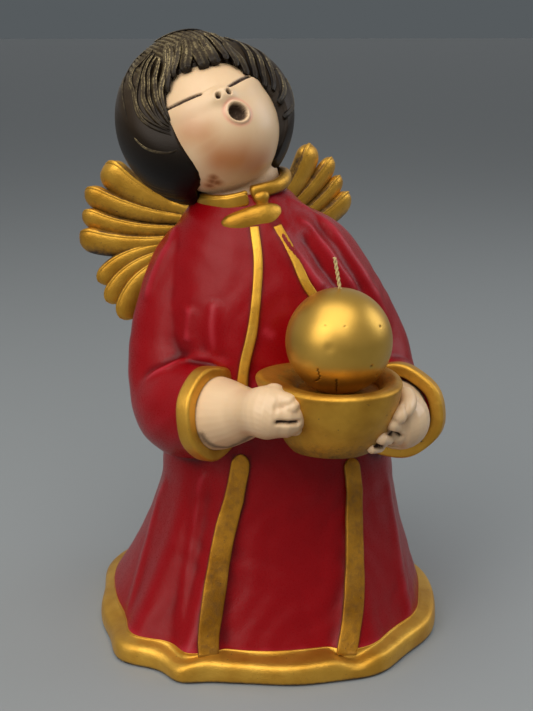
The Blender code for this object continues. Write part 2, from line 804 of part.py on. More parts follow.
def make_toggle(gold):
    """The long toggle that closes the collar, with its knot above."""
    height = SHOULDER_HEIGHT + TOGGLE_RISE
    middle = robe_point(-9, height, TOGGLE_STAND_OFF)
    along = Vector((0.945, -0.235, 0.165)).normalized()
    half = TOGGLE_LENGTH / 2
    outline = ((-1.0, 0.22), (-0.85, 0.62), (-0.45, 0.92), (0, 1.0), (0.45, 0.92), (0.85, 0.62), (1.0, 0.22))
    rows = [(*(middle + along * (half * share)), TOGGLE_HEIGHT / 2 * size) for share, size in outline]
    rings = []
    for x, y, z, radius in rows:
        upright = Vector((0, 0, 1))
        outward = along.cross(upright).normalized()
        rings.append([
            Vector((x, y, z)) + upright * (radius * math.cos(2 * math.pi * i / 12))
            + outward * (radius * 0.75 * math.sin(2 * math.pi * i / 12)) for i in range(12)])
    bar = loft("toggle_bar", rings, [gold])
    knot = [(*(middle + Vector(place)), radius) for *place, radius in TOGGLE_KNOT]
    return [bar, blob("toggle_knot", knot, 10, [gold])]


def feather(name, side, origin, lift, row, gold):
    """One thick feather, thin at its root and blunt at its tip, in the wing's swept plane."""
    root, bend, tip, half = row
    sweep = math.radians(WING_SWEEP)
    level = Vector((side * math.cos(sweep), math.sin(sweep), 0))
    rise = math.radians(lift)
    outward = level * math.cos(rise) + Vector((0, 0, math.sin(rise)))
    upward = Vector((0, 0, math.cos(rise))) - level * math.sin(rise)
    facing = outward.cross(upward).normalized()

    def place(t):
        across = (1 - t) ** 2 * root[0] + 2 * t * (1 - t) * bend[0] + t * t * tip[0]
        up = (1 - t) ** 2 * root[1] + 2 * t * (1 - t) * bend[1] + t * t * tip[1]
        return origin + outward * across + upward * up

    rings = []
    for t, size in ((0, 0.55), (0.3, 0.70), (0.6, 0.90), (0.82, 1.0), (0.94, 0.80), (1.0, 0.35)):
        along = (place(min(t + 0.02, 1.0)) - place(max(t - 0.02, 0.0))).normalized()
        across = facing.cross(along).normalized()
        thick = FEATHER_THICKNESS / 2 * (0.55 + 0.45 * t) * min(size * 1.1, 1.0)
        rings.append([
            place(t) + across * (half * size * math.cos(2 * math.pi * i / 8))
            + facing * (thick * math.sin(2 * math.pi * i / 8)) for i in range(8)])
    return loft(name, rings, [gold])


def make_wings(gold):
    forms = []
    for side, origin, lift in zip((-1, 1), WING_ROOTS, WING_LIFTS):
        for number, row in enumerate(FEATHERS):
            forms.append(feather(f"feather_{side}_{number}", side, origin, lift, row, gold))
        away, back, drop = WING_STUMP_PLACE
        middle = origin + Vector((side * away, back, drop))
        rows = [(*(middle + Vector((0, 0, up))), radius) for up, radius in WING_STUMP]
        forms.append(blob(f"wing_root_{side}", rows, 8, [gold]))
    return forms


def make_hollow(clay):
    """The space inside the casting, an even wall in from the robe, the sleeves and the head."""
    top = SHOULDER_HEIGHT + HOLLOW_TOP_RISE
    heights = spread(FLOOR_THICKNESS, WAIST_HEIGHT, 4)[:-1] + spread(WAIST_HEIGHT, top, 5)
    inset = -WALL - COAT_STEP * 0.4
    cuts = [loft("robe_hollow", robe_rings(heights, ring_angles(36), inset), [clay])]
    for name, rows in (("left", LEFT_SLEEVE), ("right", RIGHT_SLEEVE)):
        path = [(x, y, z, radius - WALL) for x, y, z, radius in sleeve_path(rows[1:-1], 1)]
        cuts.append(loft(f"{name}_sleeve_hollow", tube_rings(path, 12), [clay]))
    start = NECK_CENTRE - Vector((0, 0, NECK_PASSAGE_WIDTH))
    passage = [(*centre, NECK_PASSAGE_WIDTH / 2) for centre in (start, NECK_CENTRE, HEAD_CENTRE)]
    cuts.append(loft("neck_hollow", tube_rings(passage, 12), [clay]))
    rings = []
    for elevation in spread(-80, 84, 8):
        ring = []
        for azimuth in ring_angles(16):
            behind = ease(30, 80, abs(azimuth))
            covered = max(behind, ease(-20, 30, elevation - hairline(azimuth)))
            round_face = FACE_WIDTH / 2 - WALL + (HAIR_WIDTH - FACE_WIDTH) / 2 * covered
            reach = min(hair_reach(azimuth, elevation) - WALL, round_face)
            ring.append(HEAD_CENTRE + HEAD_FRAME @ (direction(azimuth, elevation) * reach))
        rings.append(ring)
    cuts.append(loft("head_hollow", rings, [clay]))
    return cuts


def make_foot_cuts(clay):
    """The shallow recess inside the foot ring, and the firing vent through the floor."""
    reach = skirt_base_half() + HEM_LEDGE - FOOT_RING_WIDTH
    middle = Vector((0, 0, 0))
    recess = [(reach, -FOOT_RECESS_DEPTH), (reach, FOOT_RECESS_DEPTH)]
    vent = [(VENT_DIAMETER / 2, -2 * FOOT_RECESS_DEPTH), (VENT_DIAMETER / 2, 2 * FLOOR_THICKNESS)]
    return [
        lathe("foot_recess", recess, middle, 28, [clay]),
        lathe("vent", vent, middle, 14, [clay]),
    ]


def gather(name, forms):
    """Puts helper forms in a collection of their own, kept out of renders."""
    group = bpy.data.collections.new(name)
    bpy.context.scene.collection.children.link(group)
    group.hide_render = True
    for form in forms:
        bpy.context.scene.collection.objects.unlink(form)
        group.objects.link(form)
        form.hide_render = True
        form.display_type = "WIRE"
    return group


def add_boolean(item, name, operation, group):
    modifier = item.modifiers.new(name, "BOOLEAN")
    modifier.operation = operation
    modifier.solver = "EXACT"
    modifier.operand_type = "COLLECTION"
    modifier.collection = group
    modifier.material_mode = "TRANSFER"


def make_figure():
    red = paint("red_glaze", (0.34, 0.008, 0.014), 0.28)
    gold = paint("gold_paint", (0.55, 0.30, 0.05), 0.38, 0.9)
    skin = paint("skin_glaze", (0.80, 0.55, 0.38), 0.35)
    brown = paint("hair_glaze", (0.02, 0.014, 0.008), 0.40)
    clay = paint("bare_clay", (0.70, 0.62, 0.50), 0.85)
    figure = make_robe(red)
    forms = [
        make_hem(gold),
        strip("left_strip", LEFT_EDGE, SHOULDER_HEIGHT, gold),
        strip("right_strip", RIGHT_EDGE, SHOULDER_HEIGHT, gold),
        make_sleeve("left_sleeve", LEFT_SLEEVE, LEFT_CUFF_AXIS, red, gold),
        make_sleeve("right_sleeve", RIGHT_SLEEVE, RIGHT_CUFF_AXIS, red, gold),
        make_bowl(gold),
        make_face(skin),
        make_hair(brown),
        make_neck(skin),
        make_collar(gold),
        *make_left_hand(skin),
        *make_right_hand(skin),
        *make_face_details(skin),
        *make_toggle(gold),
        *make_wings(gold),
    ]
    cuts = [*make_face_cuts(brown), *make_hollow(clay), *make_foot_cuts(clay)]
    add_boolean(figure, "body", "UNION", gather("forms", forms))
    add_boolean(figure, "hollow", "DIFFERENCE", gather("cuts", cuts))
    return figure


def make_candle():
    """A ball candle with a flat where it stands in the dish and a bore for its wick."""
    wax = paint("gold_wax", (0.45, 0.30, 0.09), 0.35, 0.6)
    radius = BALL_DIAMETER / 2
    flat = BALL_FLAT / 2
    bore = WICK_DIAMETER / 2 + CLEARANCE
    base = BOWL_CENTRE.z - DISH_DEPTH + CLEARANCE
    sunk = math.sqrt(radius ** 2 - flat ** 2)
    middle = base + sunk
    low, high = math.asin(flat / radius), math.pi - math.asin(bore / radius)
    outline = [(radius * math.sin(turn), middle - radius * math.cos(turn)) for turn in spread(low, high, 20)]
    outline.append((bore, base + WALL))
    return lathe("ball_candle", outline, BOWL_CENTRE, 32, [wax])


def make_wick():
    cotton = paint("wick_cotton", (0.52, 0.42, 0.22), 0.9)
    radius = BALL_DIAMETER / 2
    base = BOWL_CENTRE.z - DISH_DEPTH + CLEARANCE
    top = base + math.sqrt(radius ** 2 - (BALL_FLAT / 2) ** 2) + radius
    x, y = BOWL_CENTRE.x, BOWL_CENTRE.y
    rows = [(x, y, base + WALL + CLEARANCE, WICK_DIAMETER / 2), (x, y, top, WICK_DIAMETER / 2)]
    for share in (0.35, 0.7, 1.0):
        rows.append((x - WICK_LEAN * share, y, top + WICK_REACH * share, WICK_DIAMETER / 2))
    return loft("candle_wick", tube_rings(rows, 8), [cotton])


def centre_on_origin():
    """Moves everything so that the middle of the whole outline, seen from above, is the origin."""
    bpy.context.view_layer.update()
    graph = bpy.context.evaluated_depsgraph_get()
    corners = []
    for item in bpy.context.scene.collection.objects:
        shape = item.evaluated_get(graph)
        corners += [shape.matrix_world @ Vector(corner) for corner in shape.bound_box]
    middle_x = (min(c.x for c in corners) + max(c.x for c in corners)) / 2
    middle_y = (min(c.y for c in corners) + max(c.y for c in corners)) / 2
    for item in bpy.data.objects:
        item.location = (-middle_x, -middle_y, 0)


clear_scene()
make_figure()
make_candle()
make_wick()
centre_on_origin()
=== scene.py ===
# An angel candle holder: one hollow earthenware casting, glazed and painted by hand, with a loose gold ball candle.
# Metres, +Z up, the front towards -Y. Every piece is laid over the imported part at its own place.

import math

import bmesh
import bpy
import numpy as np
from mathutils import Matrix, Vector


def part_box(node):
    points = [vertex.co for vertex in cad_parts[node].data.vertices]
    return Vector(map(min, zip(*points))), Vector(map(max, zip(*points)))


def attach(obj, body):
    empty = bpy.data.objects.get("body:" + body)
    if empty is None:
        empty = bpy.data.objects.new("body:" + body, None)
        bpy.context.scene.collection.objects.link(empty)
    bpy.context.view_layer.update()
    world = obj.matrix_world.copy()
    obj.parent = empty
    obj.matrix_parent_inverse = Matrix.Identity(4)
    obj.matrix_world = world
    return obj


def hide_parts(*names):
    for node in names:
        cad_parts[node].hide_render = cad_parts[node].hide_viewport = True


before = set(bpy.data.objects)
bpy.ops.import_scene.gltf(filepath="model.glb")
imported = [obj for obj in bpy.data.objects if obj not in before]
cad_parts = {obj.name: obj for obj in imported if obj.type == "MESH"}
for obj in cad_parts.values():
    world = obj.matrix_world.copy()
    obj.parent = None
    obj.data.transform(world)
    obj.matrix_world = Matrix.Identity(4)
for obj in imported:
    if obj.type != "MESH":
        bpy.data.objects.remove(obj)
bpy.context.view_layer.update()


# Robe and sleeves
# The body of the casting: white earthenware slip poured into a plaster mould, so the sleeves run into the
# shoulders without a seam. It wears a glossy crimson glaze that pools dark in the folds and thins to pink
# where it runs over the ridges. The pink on the ridges is also painted sheen, as are a few pink spots beside the bowl.

SHOULDER = 0.216
WAIST = 0.084
WAIST_HALF = (0.0625, 0.058)
HEM_TOP = 0.0115
HEM_HALF = 0.0945
LEDGE = 0.0095
COAT_STEP = 0.0055
ROBE_FOOT = 0.0085
HOLLOW_HALF, HOLLOW_TOP = 0.057, 0.052

# The bowl's middle in these measures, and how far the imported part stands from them
BOWL_MIDDLE = (0.0149, -0.08)
candle_low, candle_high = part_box("ball_candle")
PLACE = np.array([(low + high) / 2 - middle for low, high, middle in zip(candle_low, candle_high, BOWL_MIDDLE)] + [0.0])

# Skirt folds: degrees round from the front, half spread in degrees, rise at the hem
FOLDS = (
    (-118, 14, 0.0045), (-62, 9, 0.0095), (-40, 6, 0.007), (21, 11, 0.0065), (50, 12, 0.0035),
    (86, 12, 0.0025), (132, 14, 0.004), (165, 15, 0.0035), (-165, 14, 0.0035),
)
# Sections above the waist: share of the way to the shoulder, half width, half depth, centre x and y
TORSO = (
    (0.0, 0.0625, 0.058, 0.006, -0.0015), (0.2, 0.06, 0.055, 0.004, 0.0),
    (0.46, 0.059, 0.052, 0.0, 0.0), (0.69, 0.056, 0.048, -0.002, 0.0),
    (0.88, 0.048, 0.041, -0.004, 0.002), (1.0, 0.037, 0.034, -0.008, 0.003),
    (1.08, 0.028, 0.027, -0.01, 0.004), (1.13, 0.023, 0.023, -0.012, 0.004),
)
# Edges of the open coat: share of the shoulder's height, degrees round from the front, width of the gold band
LEFT_EDGE = (
    (0.055, -33.5, 0.01), (0.13, -35.5, 0.0115), (0.32, -36.5, 0.0105), (0.495, -29.0, 0.009),
    (0.682, -23.5, 0.006), (0.787, -17.5, 0.0055), (0.9, -12.8, 0.005), (1.02, -8.0, 0.005),
)
RIGHT_EDGE = (
    (0.055, 13.0, 0.01), (0.16, 18.0, 0.011), (0.3, 22.5, 0.0105), (0.467, 26.0, 0.0095),
    (0.65, 24.0, 0.006), (0.823, 19.5, 0.0055), (0.9, 13.0, 0.0052), (1.02, 10.5, 0.005),
)
# Sleeve centres: x, y, drop below the shoulder, radius
LEFT_SLEEVE = (
    (-0.022, 0.006, 0.002, 0.014), (-0.033, 0.006, 0.018, 0.0225), (-0.04, 0.005, 0.04, 0.0265),
    (-0.045, 0.001, 0.068, 0.0285), (-0.0475, -0.012, 0.087, 0.027), (-0.0475, -0.03, 0.089, 0.0252),
    (-0.0404, -0.0519, 0.0845, 0.0211),
)
RIGHT_SLEEVE = (
    (0.012, 0.0, 0.002, 0.014), (0.024, -0.002, 0.018, 0.0225), (0.034, -0.002, 0.04, 0.027),
    (0.048, 0.0, 0.07, 0.0295), (0.0525, -0.014, 0.091, 0.028), (0.055, -0.034, 0.094, 0.0245),
    (0.054, -0.055, 0.09, 0.0222),
)
LEFT_CUFF_AXIS = np.array([0.657, -0.751, 0.1])
RIGHT_CUFF_AXIS = np.array([-0.565, -0.817, 0.1])


def linear(code):
    """Linear light of an sRGB hex colour."""
    parts = [int(code[i:i + 2], 16) / 255 for i in (1, 3, 5)]
    return (*[p / 12.92 if p <= 0.04045 else ((p + 0.055) / 1.055) ** 2.4 for p in parts], 1.0)


def fill(tree, item, **sockets):
    """Sets or links the named inputs of a node."""
    for name, value in sockets.items():
        socket = next(s for s in item.inputs if name in (s.identifier, s.name.replace(" ", "_")) and s.enabled)
        if isinstance(value, bpy.types.NodeSocket):
            tree.links.new(value, socket)
        else:
            socket.default_value = value


def add_node(tree, kind, fields=None, **sockets):
    """Adds a node with its fields set, and each named input set or linked."""
    item = tree.nodes.new(kind)
    for field, value in (fields or {}).items():
        setattr(item, field, value)
    fill(tree, item, **sockets)
    return item


def new_finish(name):
    """An empty finish: its material, its tree and its surface shader."""
    material = bpy.data.materials.new(name)
    material.use_nodes = True
    return material, material.node_tree, material.node_tree.nodes["Principled BSDF"]


def painted(tree, *names):
    """The values that a piece stores on its points."""
    return [add_node(tree, "ShaderNodeAttribute", {"attribute_name": name}).outputs["Fac"] for name in names]


def noise(tree, scale, detail, roughness=0.5):
    """Noise fixed to the piece, with so many clouds in a metre."""
    place = add_node(tree, "ShaderNodeTexCoord").outputs["Object"]
    return add_node(tree, "ShaderNodeTexNoise", Vector=place, Scale=scale, Detail=detail,
                    Roughness=roughness).outputs[0]


def maths(tree, operation, *values, clamp=False):
    sockets = dict(zip(("Value", "Value_001", "Value_002"), values))
    return add_node(tree, "ShaderNodeMath", {"operation": operation, "use_clamp": clamp}, **sockets).outputs[0]


def ranged(tree, value, low, high, start=0.0, end=1.0):
    """A value carried from one range to another."""
    return add_node(tree, "ShaderNodeMapRange", Value=value, From_Min=low, From_Max=high,
                    To_Min=start, To_Max=end).outputs[0]


def mix(tree, share, *colours):
    """The first colour turning into the second by a share. Each is a hex code or an output."""
    first, second = (linear(colour) if isinstance(colour, str) else colour for colour in colours)
    return add_node(tree, "ShaderNodeMixRGB", Fac=share, Color1=first, Color2=second).outputs[0]


def bump(tree, strength, distance, height, **under):
    return add_node(tree, "ShaderNodeBump", Strength=strength, Distance=distance, Height=height, **under).outputs[0]


def crimson_glaze():
    """Crimson glaze over white slip: deep and glossy, darker where it pools, pink where it runs thin and where pink
    sheen is painted.
    """
    material, tree, shader = new_finish("crimson_glaze")
    # Clouds 25 mm across, as the glaze ran
    colour = mix(tree, noise(tree, 40.0, 4.0, 0.6), "#7e0108", "#90040d")
    # Glaze pooled dark in the folds, pink where it runs thin and where pink sheen is painted, and brown wash beside the
    # gold bands
    for share, tint in zip(painted(tree, "pool", "thin_glaze_and_sheen", "wash_and_shade"), ("#500004", "#ac2a36", "#3a1408")):
        colour = mix(tree, share, colour, tint)
    # Orange-peel grain in the glaze, 0.7 mm across
    grit = noise(tree, 1400.0, 3.0, 0.7)
    wavy = bump(tree, 0.3, 0.001, noise(tree, 110.0, 2.0))
    fill(tree, shader, Base_Color=colour, Roughness=ranged(tree, grit, 0.35, 0.7, 0.24, 0.4),
         Normal=bump(tree, 0.35, 0.00025, grit, Normal=wavy), Specular_IOR_Level=0.17)
    return material


def ease(low, high, value):
    share = np.clip((value - low) / (high - low), 0.0, 1.0)
    return share * share * (3 - 2 * share)


def hump(away, half):
    return np.exp(-(away / half) ** 2)


def blunt(past, least):
    """Share of the size left where an end rounds off, from nought at its start to one at its tip."""
    return np.sqrt(np.clip(1 - np.clip(past, 0, 1) ** 2, least, 1))


def waves(rows, angle):
    """Rise of all the folds in a list, at angles round from the front."""
    return sum(rise * hump((angle - at + 180) % 360 - 180, half) for at, half, rise in rows)


def smooth_rows(rows, steps):
    """Rows of numbers along a smooth curve through the given rows."""
    rows = np.array(rows, float)
    ends = np.vstack([rows[:1], rows, rows[-1:]])
    found = []
    for p0, p1, p2, p3 in zip(ends, ends[1:], ends[2:], ends[3:]):
        t = (np.arange(steps) / steps)[:, None]
        found.append(0.5 * (2 * p1 + (p2 - p0) * t + (2 * p0 - 5 * p1 + 4 * p2 - p3) * t ** 2
                            + (3 * p1 - p0 - 3 * p2 + p3) * t ** 3))
    return np.vstack([*found, rows[-1:]])


TORSO_CURVE = smooth_rows(TORSO, 8)
LEFT_EDGE_CURVE = smooth_rows(LEFT_EDGE, 8)
RIGHT_EDGE_CURVE = smooth_rows(RIGHT_EDGE, 8)


def section(height):
    """Half width, half depth and centre of the robe at heights, before its folds."""
    share = (height - WAIST) / (SHOULDER - WAIST)
    above = [np.interp(share, TORSO_CURVE[:, 0], TORSO_CURVE[:, k]) for k in range(1, 5)]
    up = np.clip((height - HEM_TOP) / (WAIST - HEM_TOP), 0.0, 1.0)
    flare = (1 - up) ** 1.45
    base = HEM_HALF - LEDGE
    below = [WAIST_HALF[0] + (base - WAIST_HALF[0]) * flare, WAIST_HALF[1] + (base - WAIST_HALF[1]) * flare,
             0.006 * (1 - flare), -0.0015 * (1 - flare)]
    return [np.where(height >= WAIST, a, b) for a, b in zip(above, below)]


def robe_point(angle, height, out=0.0):
    """Points on the robe, by degrees round from the front and height, moved outwards."""
    angle, height = np.broadcast_arrays(np.asarray(angle, float), np.asarray(height, float))
    wide, deep, shift_x, shift_y = section(height)
    fade = np.clip(1 - height / (1.25 * WAIST), 0, None) ** 1.2
    share = height / SHOULDER
    near = (angle + 180) % 360 - 180
    left = np.interp(share, LEFT_EDGE_CURVE[:, 0], LEFT_EDGE_CURVE[:, 1])
    right = np.interp(share, RIGHT_EDGE_CURVE[:, 0], RIGHT_EDGE_CURVE[:, 1])
    inside = ease(left, left + 5, near) * ease(-right, 5 - right, -near)
    step = COAT_STEP * (0.25 + 0.75 * fade) * (1 - ease(0.75, 1.0, share))
    rise = waves(FOLDS, angle) * fade - step * inside + out
    turn = np.radians(angle)
    return np.stack([shift_x + np.sin(turn) * (wide + rise), shift_y - np.cos(turn) * (deep + rise), height], -1)


def unit(vector):
    return vector / np.linalg.norm(vector, axis=-1, keepdims=True)


def level_ring(turn, reach, height, x=0.0, y=0.0):
    """Points round an upright axis, by the turn from the front."""
    return np.stack(np.broadcast_arrays(x + np.sin(turn) * reach, y - np.cos(turn) * reach, height), -1)


def ring_about(centre, along, radius, corners):
    side = unit(np.array([1.0, 0, 0]) - along * along[0])
    upright = np.cross(along, side)
    turn = 2 * np.pi * np.arange(corners)[:, None] / corners
    return centre + (side * np.cos(turn) + upright * np.sin(turn)) * radius


def limb_rings(rows, corners, end_axis=None):
    """Rings square to a path of centres with a radius each."""
    rows = np.asarray(rows, float)
    rings = []
    for i, row in enumerate(rows):
        along = unit(rows[min(i + 1, len(rows) - 1)][:3] - rows[max(i - 1, 0)][:3])
        if end_axis is not None:
            pull = ease(0.6, 1.0, i / (len(rows) - 1))
            along = unit(along * (1 - pull) + unit(end_axis) * pull)
        rings.append(ring_about(row[:3], along, row[3], corners))
    return np.array(rings)


def closed_form(rings):
    """Points and faces of a closed skin over rings of equal length."""
    rows, count = rings.shape[:2]
    index = np.arange(rows * count).reshape(rows, count)
    low, high = index[:-1], index[1:]
    quads = np.stack([low, np.roll(low, -1, 1), np.roll(high, -1, 1), high], -1).reshape(-1, 4).tolist()
    return rings.reshape(-1, 3), quads + [index[0][::-1].tolist(), index[-1].tolist()]


def in_scene(name, mesh):
    item = bpy.data.objects.new(name, mesh)
    bpy.context.scene.collection.objects.link(item)
    return item


def face_outwards(mesh):
    shape = bmesh.new()
    shape.from_mesh(mesh)
    bmesh.ops.recalc_face_normals(shape, faces=shape.faces)
    shape.to_mesh(mesh)
    shape.free()
    mesh.shade_smooth()


def made_of(item, name):
    """The mesh that an object's modifiers make, in place of the object."""
    mesh = bpy.data.meshes.new_from_object(item.evaluated_get(bpy.context.evaluated_depsgraph_get()))
    mesh.name = name
    bpy.data.objects.remove(item, do_unlink=True)
    return mesh


def as_piece(name, points, faces, finish):
    """A smooth piece at the figure's place, facing outwards."""
    mesh = bpy.data.meshes.new(name)
    mesh.from_pydata((points + PLACE).tolist(), [], faces)
    face_outwards(mesh)
    mesh.materials.append(finish)
    return in_scene(name, mesh)


def run_together(name, forms, grain, rounds, finish):
    """One skin over forms that meet, with the soft joins that a mould and its glaze give."""
    points, faces, start = [], [], 0
    for form_points, form_faces in forms:
        points.append(form_points)
        faces += [[start + k for k in face] for face in form_faces]
        start += len(form_points)
    raw = as_piece(name + "_raw", np.vstack(points), faces, finish)
    cast = raw.modifiers.new("cast", "REMESH")
    cast.mode = "VOXEL"
    cast.voxel_size = grain
    cast.use_smooth_shade = True
    soften = raw.modifiers.new("soften", "SMOOTH")
    soften.factor = 0.5
    soften.iterations = rounds
    mesh = made_of(raw, name)
    mesh.shade_smooth()
    mesh.materials.clear()
    mesh.materials.append(finish)
    return in_scene(name, mesh)


def points_of(mesh):
    """A mesh's points and their normals, in the figure's own place."""
    points = np.empty(len(mesh.vertices) * 3)
    mesh.vertices.foreach_get("co", points)
    normals = np.empty(len(mesh.vertices) * 3)
    mesh.vertices.foreach_get("normal", normals)
    return points.reshape(-1, 3) - PLACE, normals.reshape(-1, 3)


def set_points(mesh, points):
    mesh.vertices.foreach_set("co", (points + PLACE).ravel())
    mesh.update()


def store(mesh, name, values):
    layer = mesh.attributes.new(name, "FLOAT", "POINT")
    layer.data.foreach_set("value", np.clip(values, 0, 1).astype(np.float32))


def sunk(mesh, rounds):
    """How deep each point lies in a hollow, in metres, against its surroundings; ridges are below nought."""
    points, normals = points_of(mesh)
    ends = np.empty(len(mesh.edges) * 2, int)
    mesh.edges.foreach_get("vertices", ends)
    ends = ends.reshape(-1, 2)
    count = np.bincount(ends.ravel(), minlength=len(points))[:, None]
    mean = points.copy()
    for _ in range(rounds):
        total = np.stack([np.bincount(ends[:, 0], mean[ends[:, 1], k], len(points))
                          + np.bincount(ends[:, 1], mean[ends[:, 0], k], len(points)) for k in range(3)], -1)
        mean = 0.5 * mean + 0.5 * total / count
    return ((mean - points) * normals).sum(-1)


def beside(points, path):
    """Distance from each point to a path, and the share of the path's length nearest to it."""
    path = np.asarray(path, float)
    best = np.full(len(points), np.inf)
    where = np.zeros(len(points))
    for i, (a, b) in enumerate(zip(path, path[1:])):
        t = np.clip(((points - a) @ (b - a)) / ((b - a) @ (b - a)), 0, 1)
        away = np.linalg.norm(points - (a + t[:, None] * (b - a)), axis=1)
        nearer = away < best
        best[nearer] = away[nearer]
        where[nearer] = ((i + t) / (len(path) - 1))[nearer]
    return best, where


# The casting is open underneath, so the robe starts with the wall of its own hollow
robe_angles = np.linspace(-180, 180, 240, endpoint=False)
robe_heights = np.concatenate([np.linspace(ROBE_FOOT, WAIST, 60)[:-1], np.linspace(WAIST, SHOULDER + 0.0165, 80)])
robe_turn = np.radians(robe_angles)
hollow = [level_ring(robe_turn, HOLLOW_HALF, height) for height in (HOLLOW_TOP, ROBE_FOOT)]
robe_rings = np.concatenate([hollow, robe_point(robe_angles[None, :], robe_heights[:, None])])


def sleeve_form(rows, axis):
    path = smooth_rows([(x, y, SHOULDER - drop, radius) for x, y, drop, radius in rows], 6)
    return closed_form(limb_rings(path, 48, axis))


robe = run_together("robe", [
    closed_form(robe_rings),
    sleeve_form(LEFT_SLEEVE, LEFT_CUFF_AXIS),
    sleeve_form(RIGHT_SLEEVE, RIGHT_CUFF_AXIS),
], grain=0.0014, rounds=10, finish=crimson_glaze())

# Soft ridges and one valley that the modeller pulled in the clay: rise, half width, then places along each
RIDGES = (
    (0.0014, 0.0042, (-0.0449, 0.0058, 0.2163), (-0.0505, -0.003, 0.2081), (-0.0568, -0.0044, 0.1978),
     (-0.0616, -0.005, 0.1873), (-0.0653, -0.0052, 0.1775)),
    (0.0013, 0.0036, (-0.0354, -0.0359, 0.1838), (-0.0365, -0.0379, 0.1743), (-0.0368, -0.0393, 0.1645),
     (-0.0362, -0.0405, 0.1556)),
    (0.0011, 0.0034, (-0.046, -0.0282, 0.1797), (-0.0473, -0.0291, 0.1703), (-0.0477, -0.03, 0.1608)),
    (0.0015, 0.0026, (-0.0697, -0.0237, 0.1404), (-0.0607, -0.0309, 0.1483), (-0.0507, -0.0307, 0.1522),
     (-0.0426, -0.0358, 0.1553), (-0.034, -0.0419, 0.1542), (-0.0276, -0.0456, 0.1501)),
    (0.0016, 0.0042, (0.0062, -0.0161, 0.2284), (0.0179, -0.0111, 0.2227), (0.0276, -0.0141, 0.2155),
     (0.0364, -0.0202, 0.2041), (0.0457, -0.0221, 0.1901), (0.0549, -0.0218, 0.1754), (0.0621, -0.0223, 0.1597)),
    (0.001, 0.0024, (0.0097, -0.0236, 0.2194), (0.0167, -0.022, 0.2162), (0.0222, -0.026, 0.2085),
     (0.029, -0.0287, 0.1986), (0.0378, -0.0286, 0.1862), (0.0484, -0.0266, 0.1712)),
    (0.0015, 0.0034, (-0.0009, -0.0289, 0.218), (0.0041, -0.0344, 0.208), (0.0113, -0.0384, 0.1968),
     (0.0191, -0.0403, 0.1869)),
    (-0.0022, 0.0042, (0.0105, -0.0276, 0.2146), (0.0159, -0.0317, 0.2061), (0.0225, -0.0347, 0.1955),
     (0.0311, -0.0348, 0.1851), (0.0427, -0.0291, 0.1748)),
    (0.0013, 0.0036, (-0.041, -0.0379, 0.0964), (-0.0441, -0.0367, 0.0853), (-0.0489, -0.0409, 0.0601),
     (-0.0549, -0.0488, 0.0366), (-0.0608, -0.0596, 0.0161)),
    (0.0013, 0.0044, (-0.0561, -0.0095, 0.0815), (-0.06, -0.001, 0.0671), (-0.068, -0.0073, 0.0444),
     (-0.0766, -0.0179, 0.0241), (-0.083, -0.027, 0.0108)),
    (0.0013, 0.0044, (0.0555, -0.0366, 0.0869), (0.0596, -0.0399, 0.0592), (0.0609, -0.0527, 0.0302),
     (0.0632, -0.0604, 0.0104)),
)

robe_at, robe_out = points_of(robe.data)
lift = 0.00022 * np.sin(robe_at[:, 0] * 330 + 2.0 * np.sin(robe_at[:, 2] * 120)) \
    * np.sin(robe_at[:, 2] * 210 + 1.5 * np.sin(robe_at[:, 0] * 150) + robe_at[:, 1] * 90)
for rise, half, *places in RIDGES:
    away, share = beside(robe_at, smooth_rows(places, 5))
    lift += rise * hump(away, half) * ease(0.0, 0.2, share + 0.03) * (1 - ease(0.8, 1.02, share))
set_points(robe.data, robe_at + robe_out * lift[:, None])
robe_at, robe_out = points_of(robe.data)
robe_sunk = sunk(robe.data, 24)
up = robe_at[:, 2] / SHOULDER
by_band = np.zeros(len(robe_at))
# Brown beside both gold bands, but not where a hand covers them
for rows, gap_low, gap_high in ((LEFT_EDGE_CURVE, 0.5, 0.52), (RIGHT_EDGE_CURVE, 0.47, 0.53)):
    away, share = beside(robe_at, robe_point(rows[:, 1], rows[:, 0] * SHOULDER))
    half = np.interp(share, np.linspace(0, 1, len(rows)), rows[:, 2] / 2)
    beside_band = 1 - ease(gap_low - 0.01, gap_low, up) * (1 - ease(gap_high, gap_high + 0.01, up))
    by_band = np.maximum(by_band, (1 - ease(0.0, 0.0013, away - half)) * beside_band)
store(robe.data, "pool", 0.9 * ease(0.0, 0.0008, robe_sunk))
# Painted sheen: a few pink spots on the front of the robe beside the bowl
SHEEN_SPOTS = ((-0.0218, -0.0476, 0.1468), (-0.018, -0.0483, 0.1426), (-0.0117, -0.0473, 0.1691), (-0.0098, -0.0477, 0.1676))
sheen_spots = np.zeros(len(robe_at))
for place in SHEEN_SPOTS:
    sheen_spots = np.maximum(sheen_spots, 0.7 * hump(np.linalg.norm(robe_at - place, axis=1), 0.002))
# Pink on the ridges, where the glaze runs thin, is also painted sheen, and so are the pink spots
store(robe.data, "thin_glaze_and_sheen", np.maximum(0.8 * ease(0.00015, 0.0008, -robe_sunk), sheen_spots))
store(robe.data, "wash_and_shade", 0.45 * by_band)
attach(robe, "root")
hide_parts("angel_figure")


# Hem
# The skirt spreads into a thick rim with a soft wavy edge, pressed in the same mould and painted with gold
# lacquer over brown. Its crest is rubbed bright, and the brown stays along its foot.

# Degrees round from the front, half spread in degrees, and the rise of the crest or the reach of the edge
HEM_DIPS = (
    (-43, 6, -0.0022), (-33, 4, 0.0005), (-12, 9, -0.0007), (7, 4, 0.0006), (14, 5, -0.003), (60, 14, 0.0006),
    (-75, 10, -0.0012), (-120, 16, -0.001), (110, 14, -0.0012), (150, 10, -0.001), (-160, 12, -0.0014),
)
HEM_WAVES = ((-132, 12, 0.002), (-106, 14, -0.004), (-19, 13, -0.003), (84, 12, -0.0015), (116, 27, -0.006))


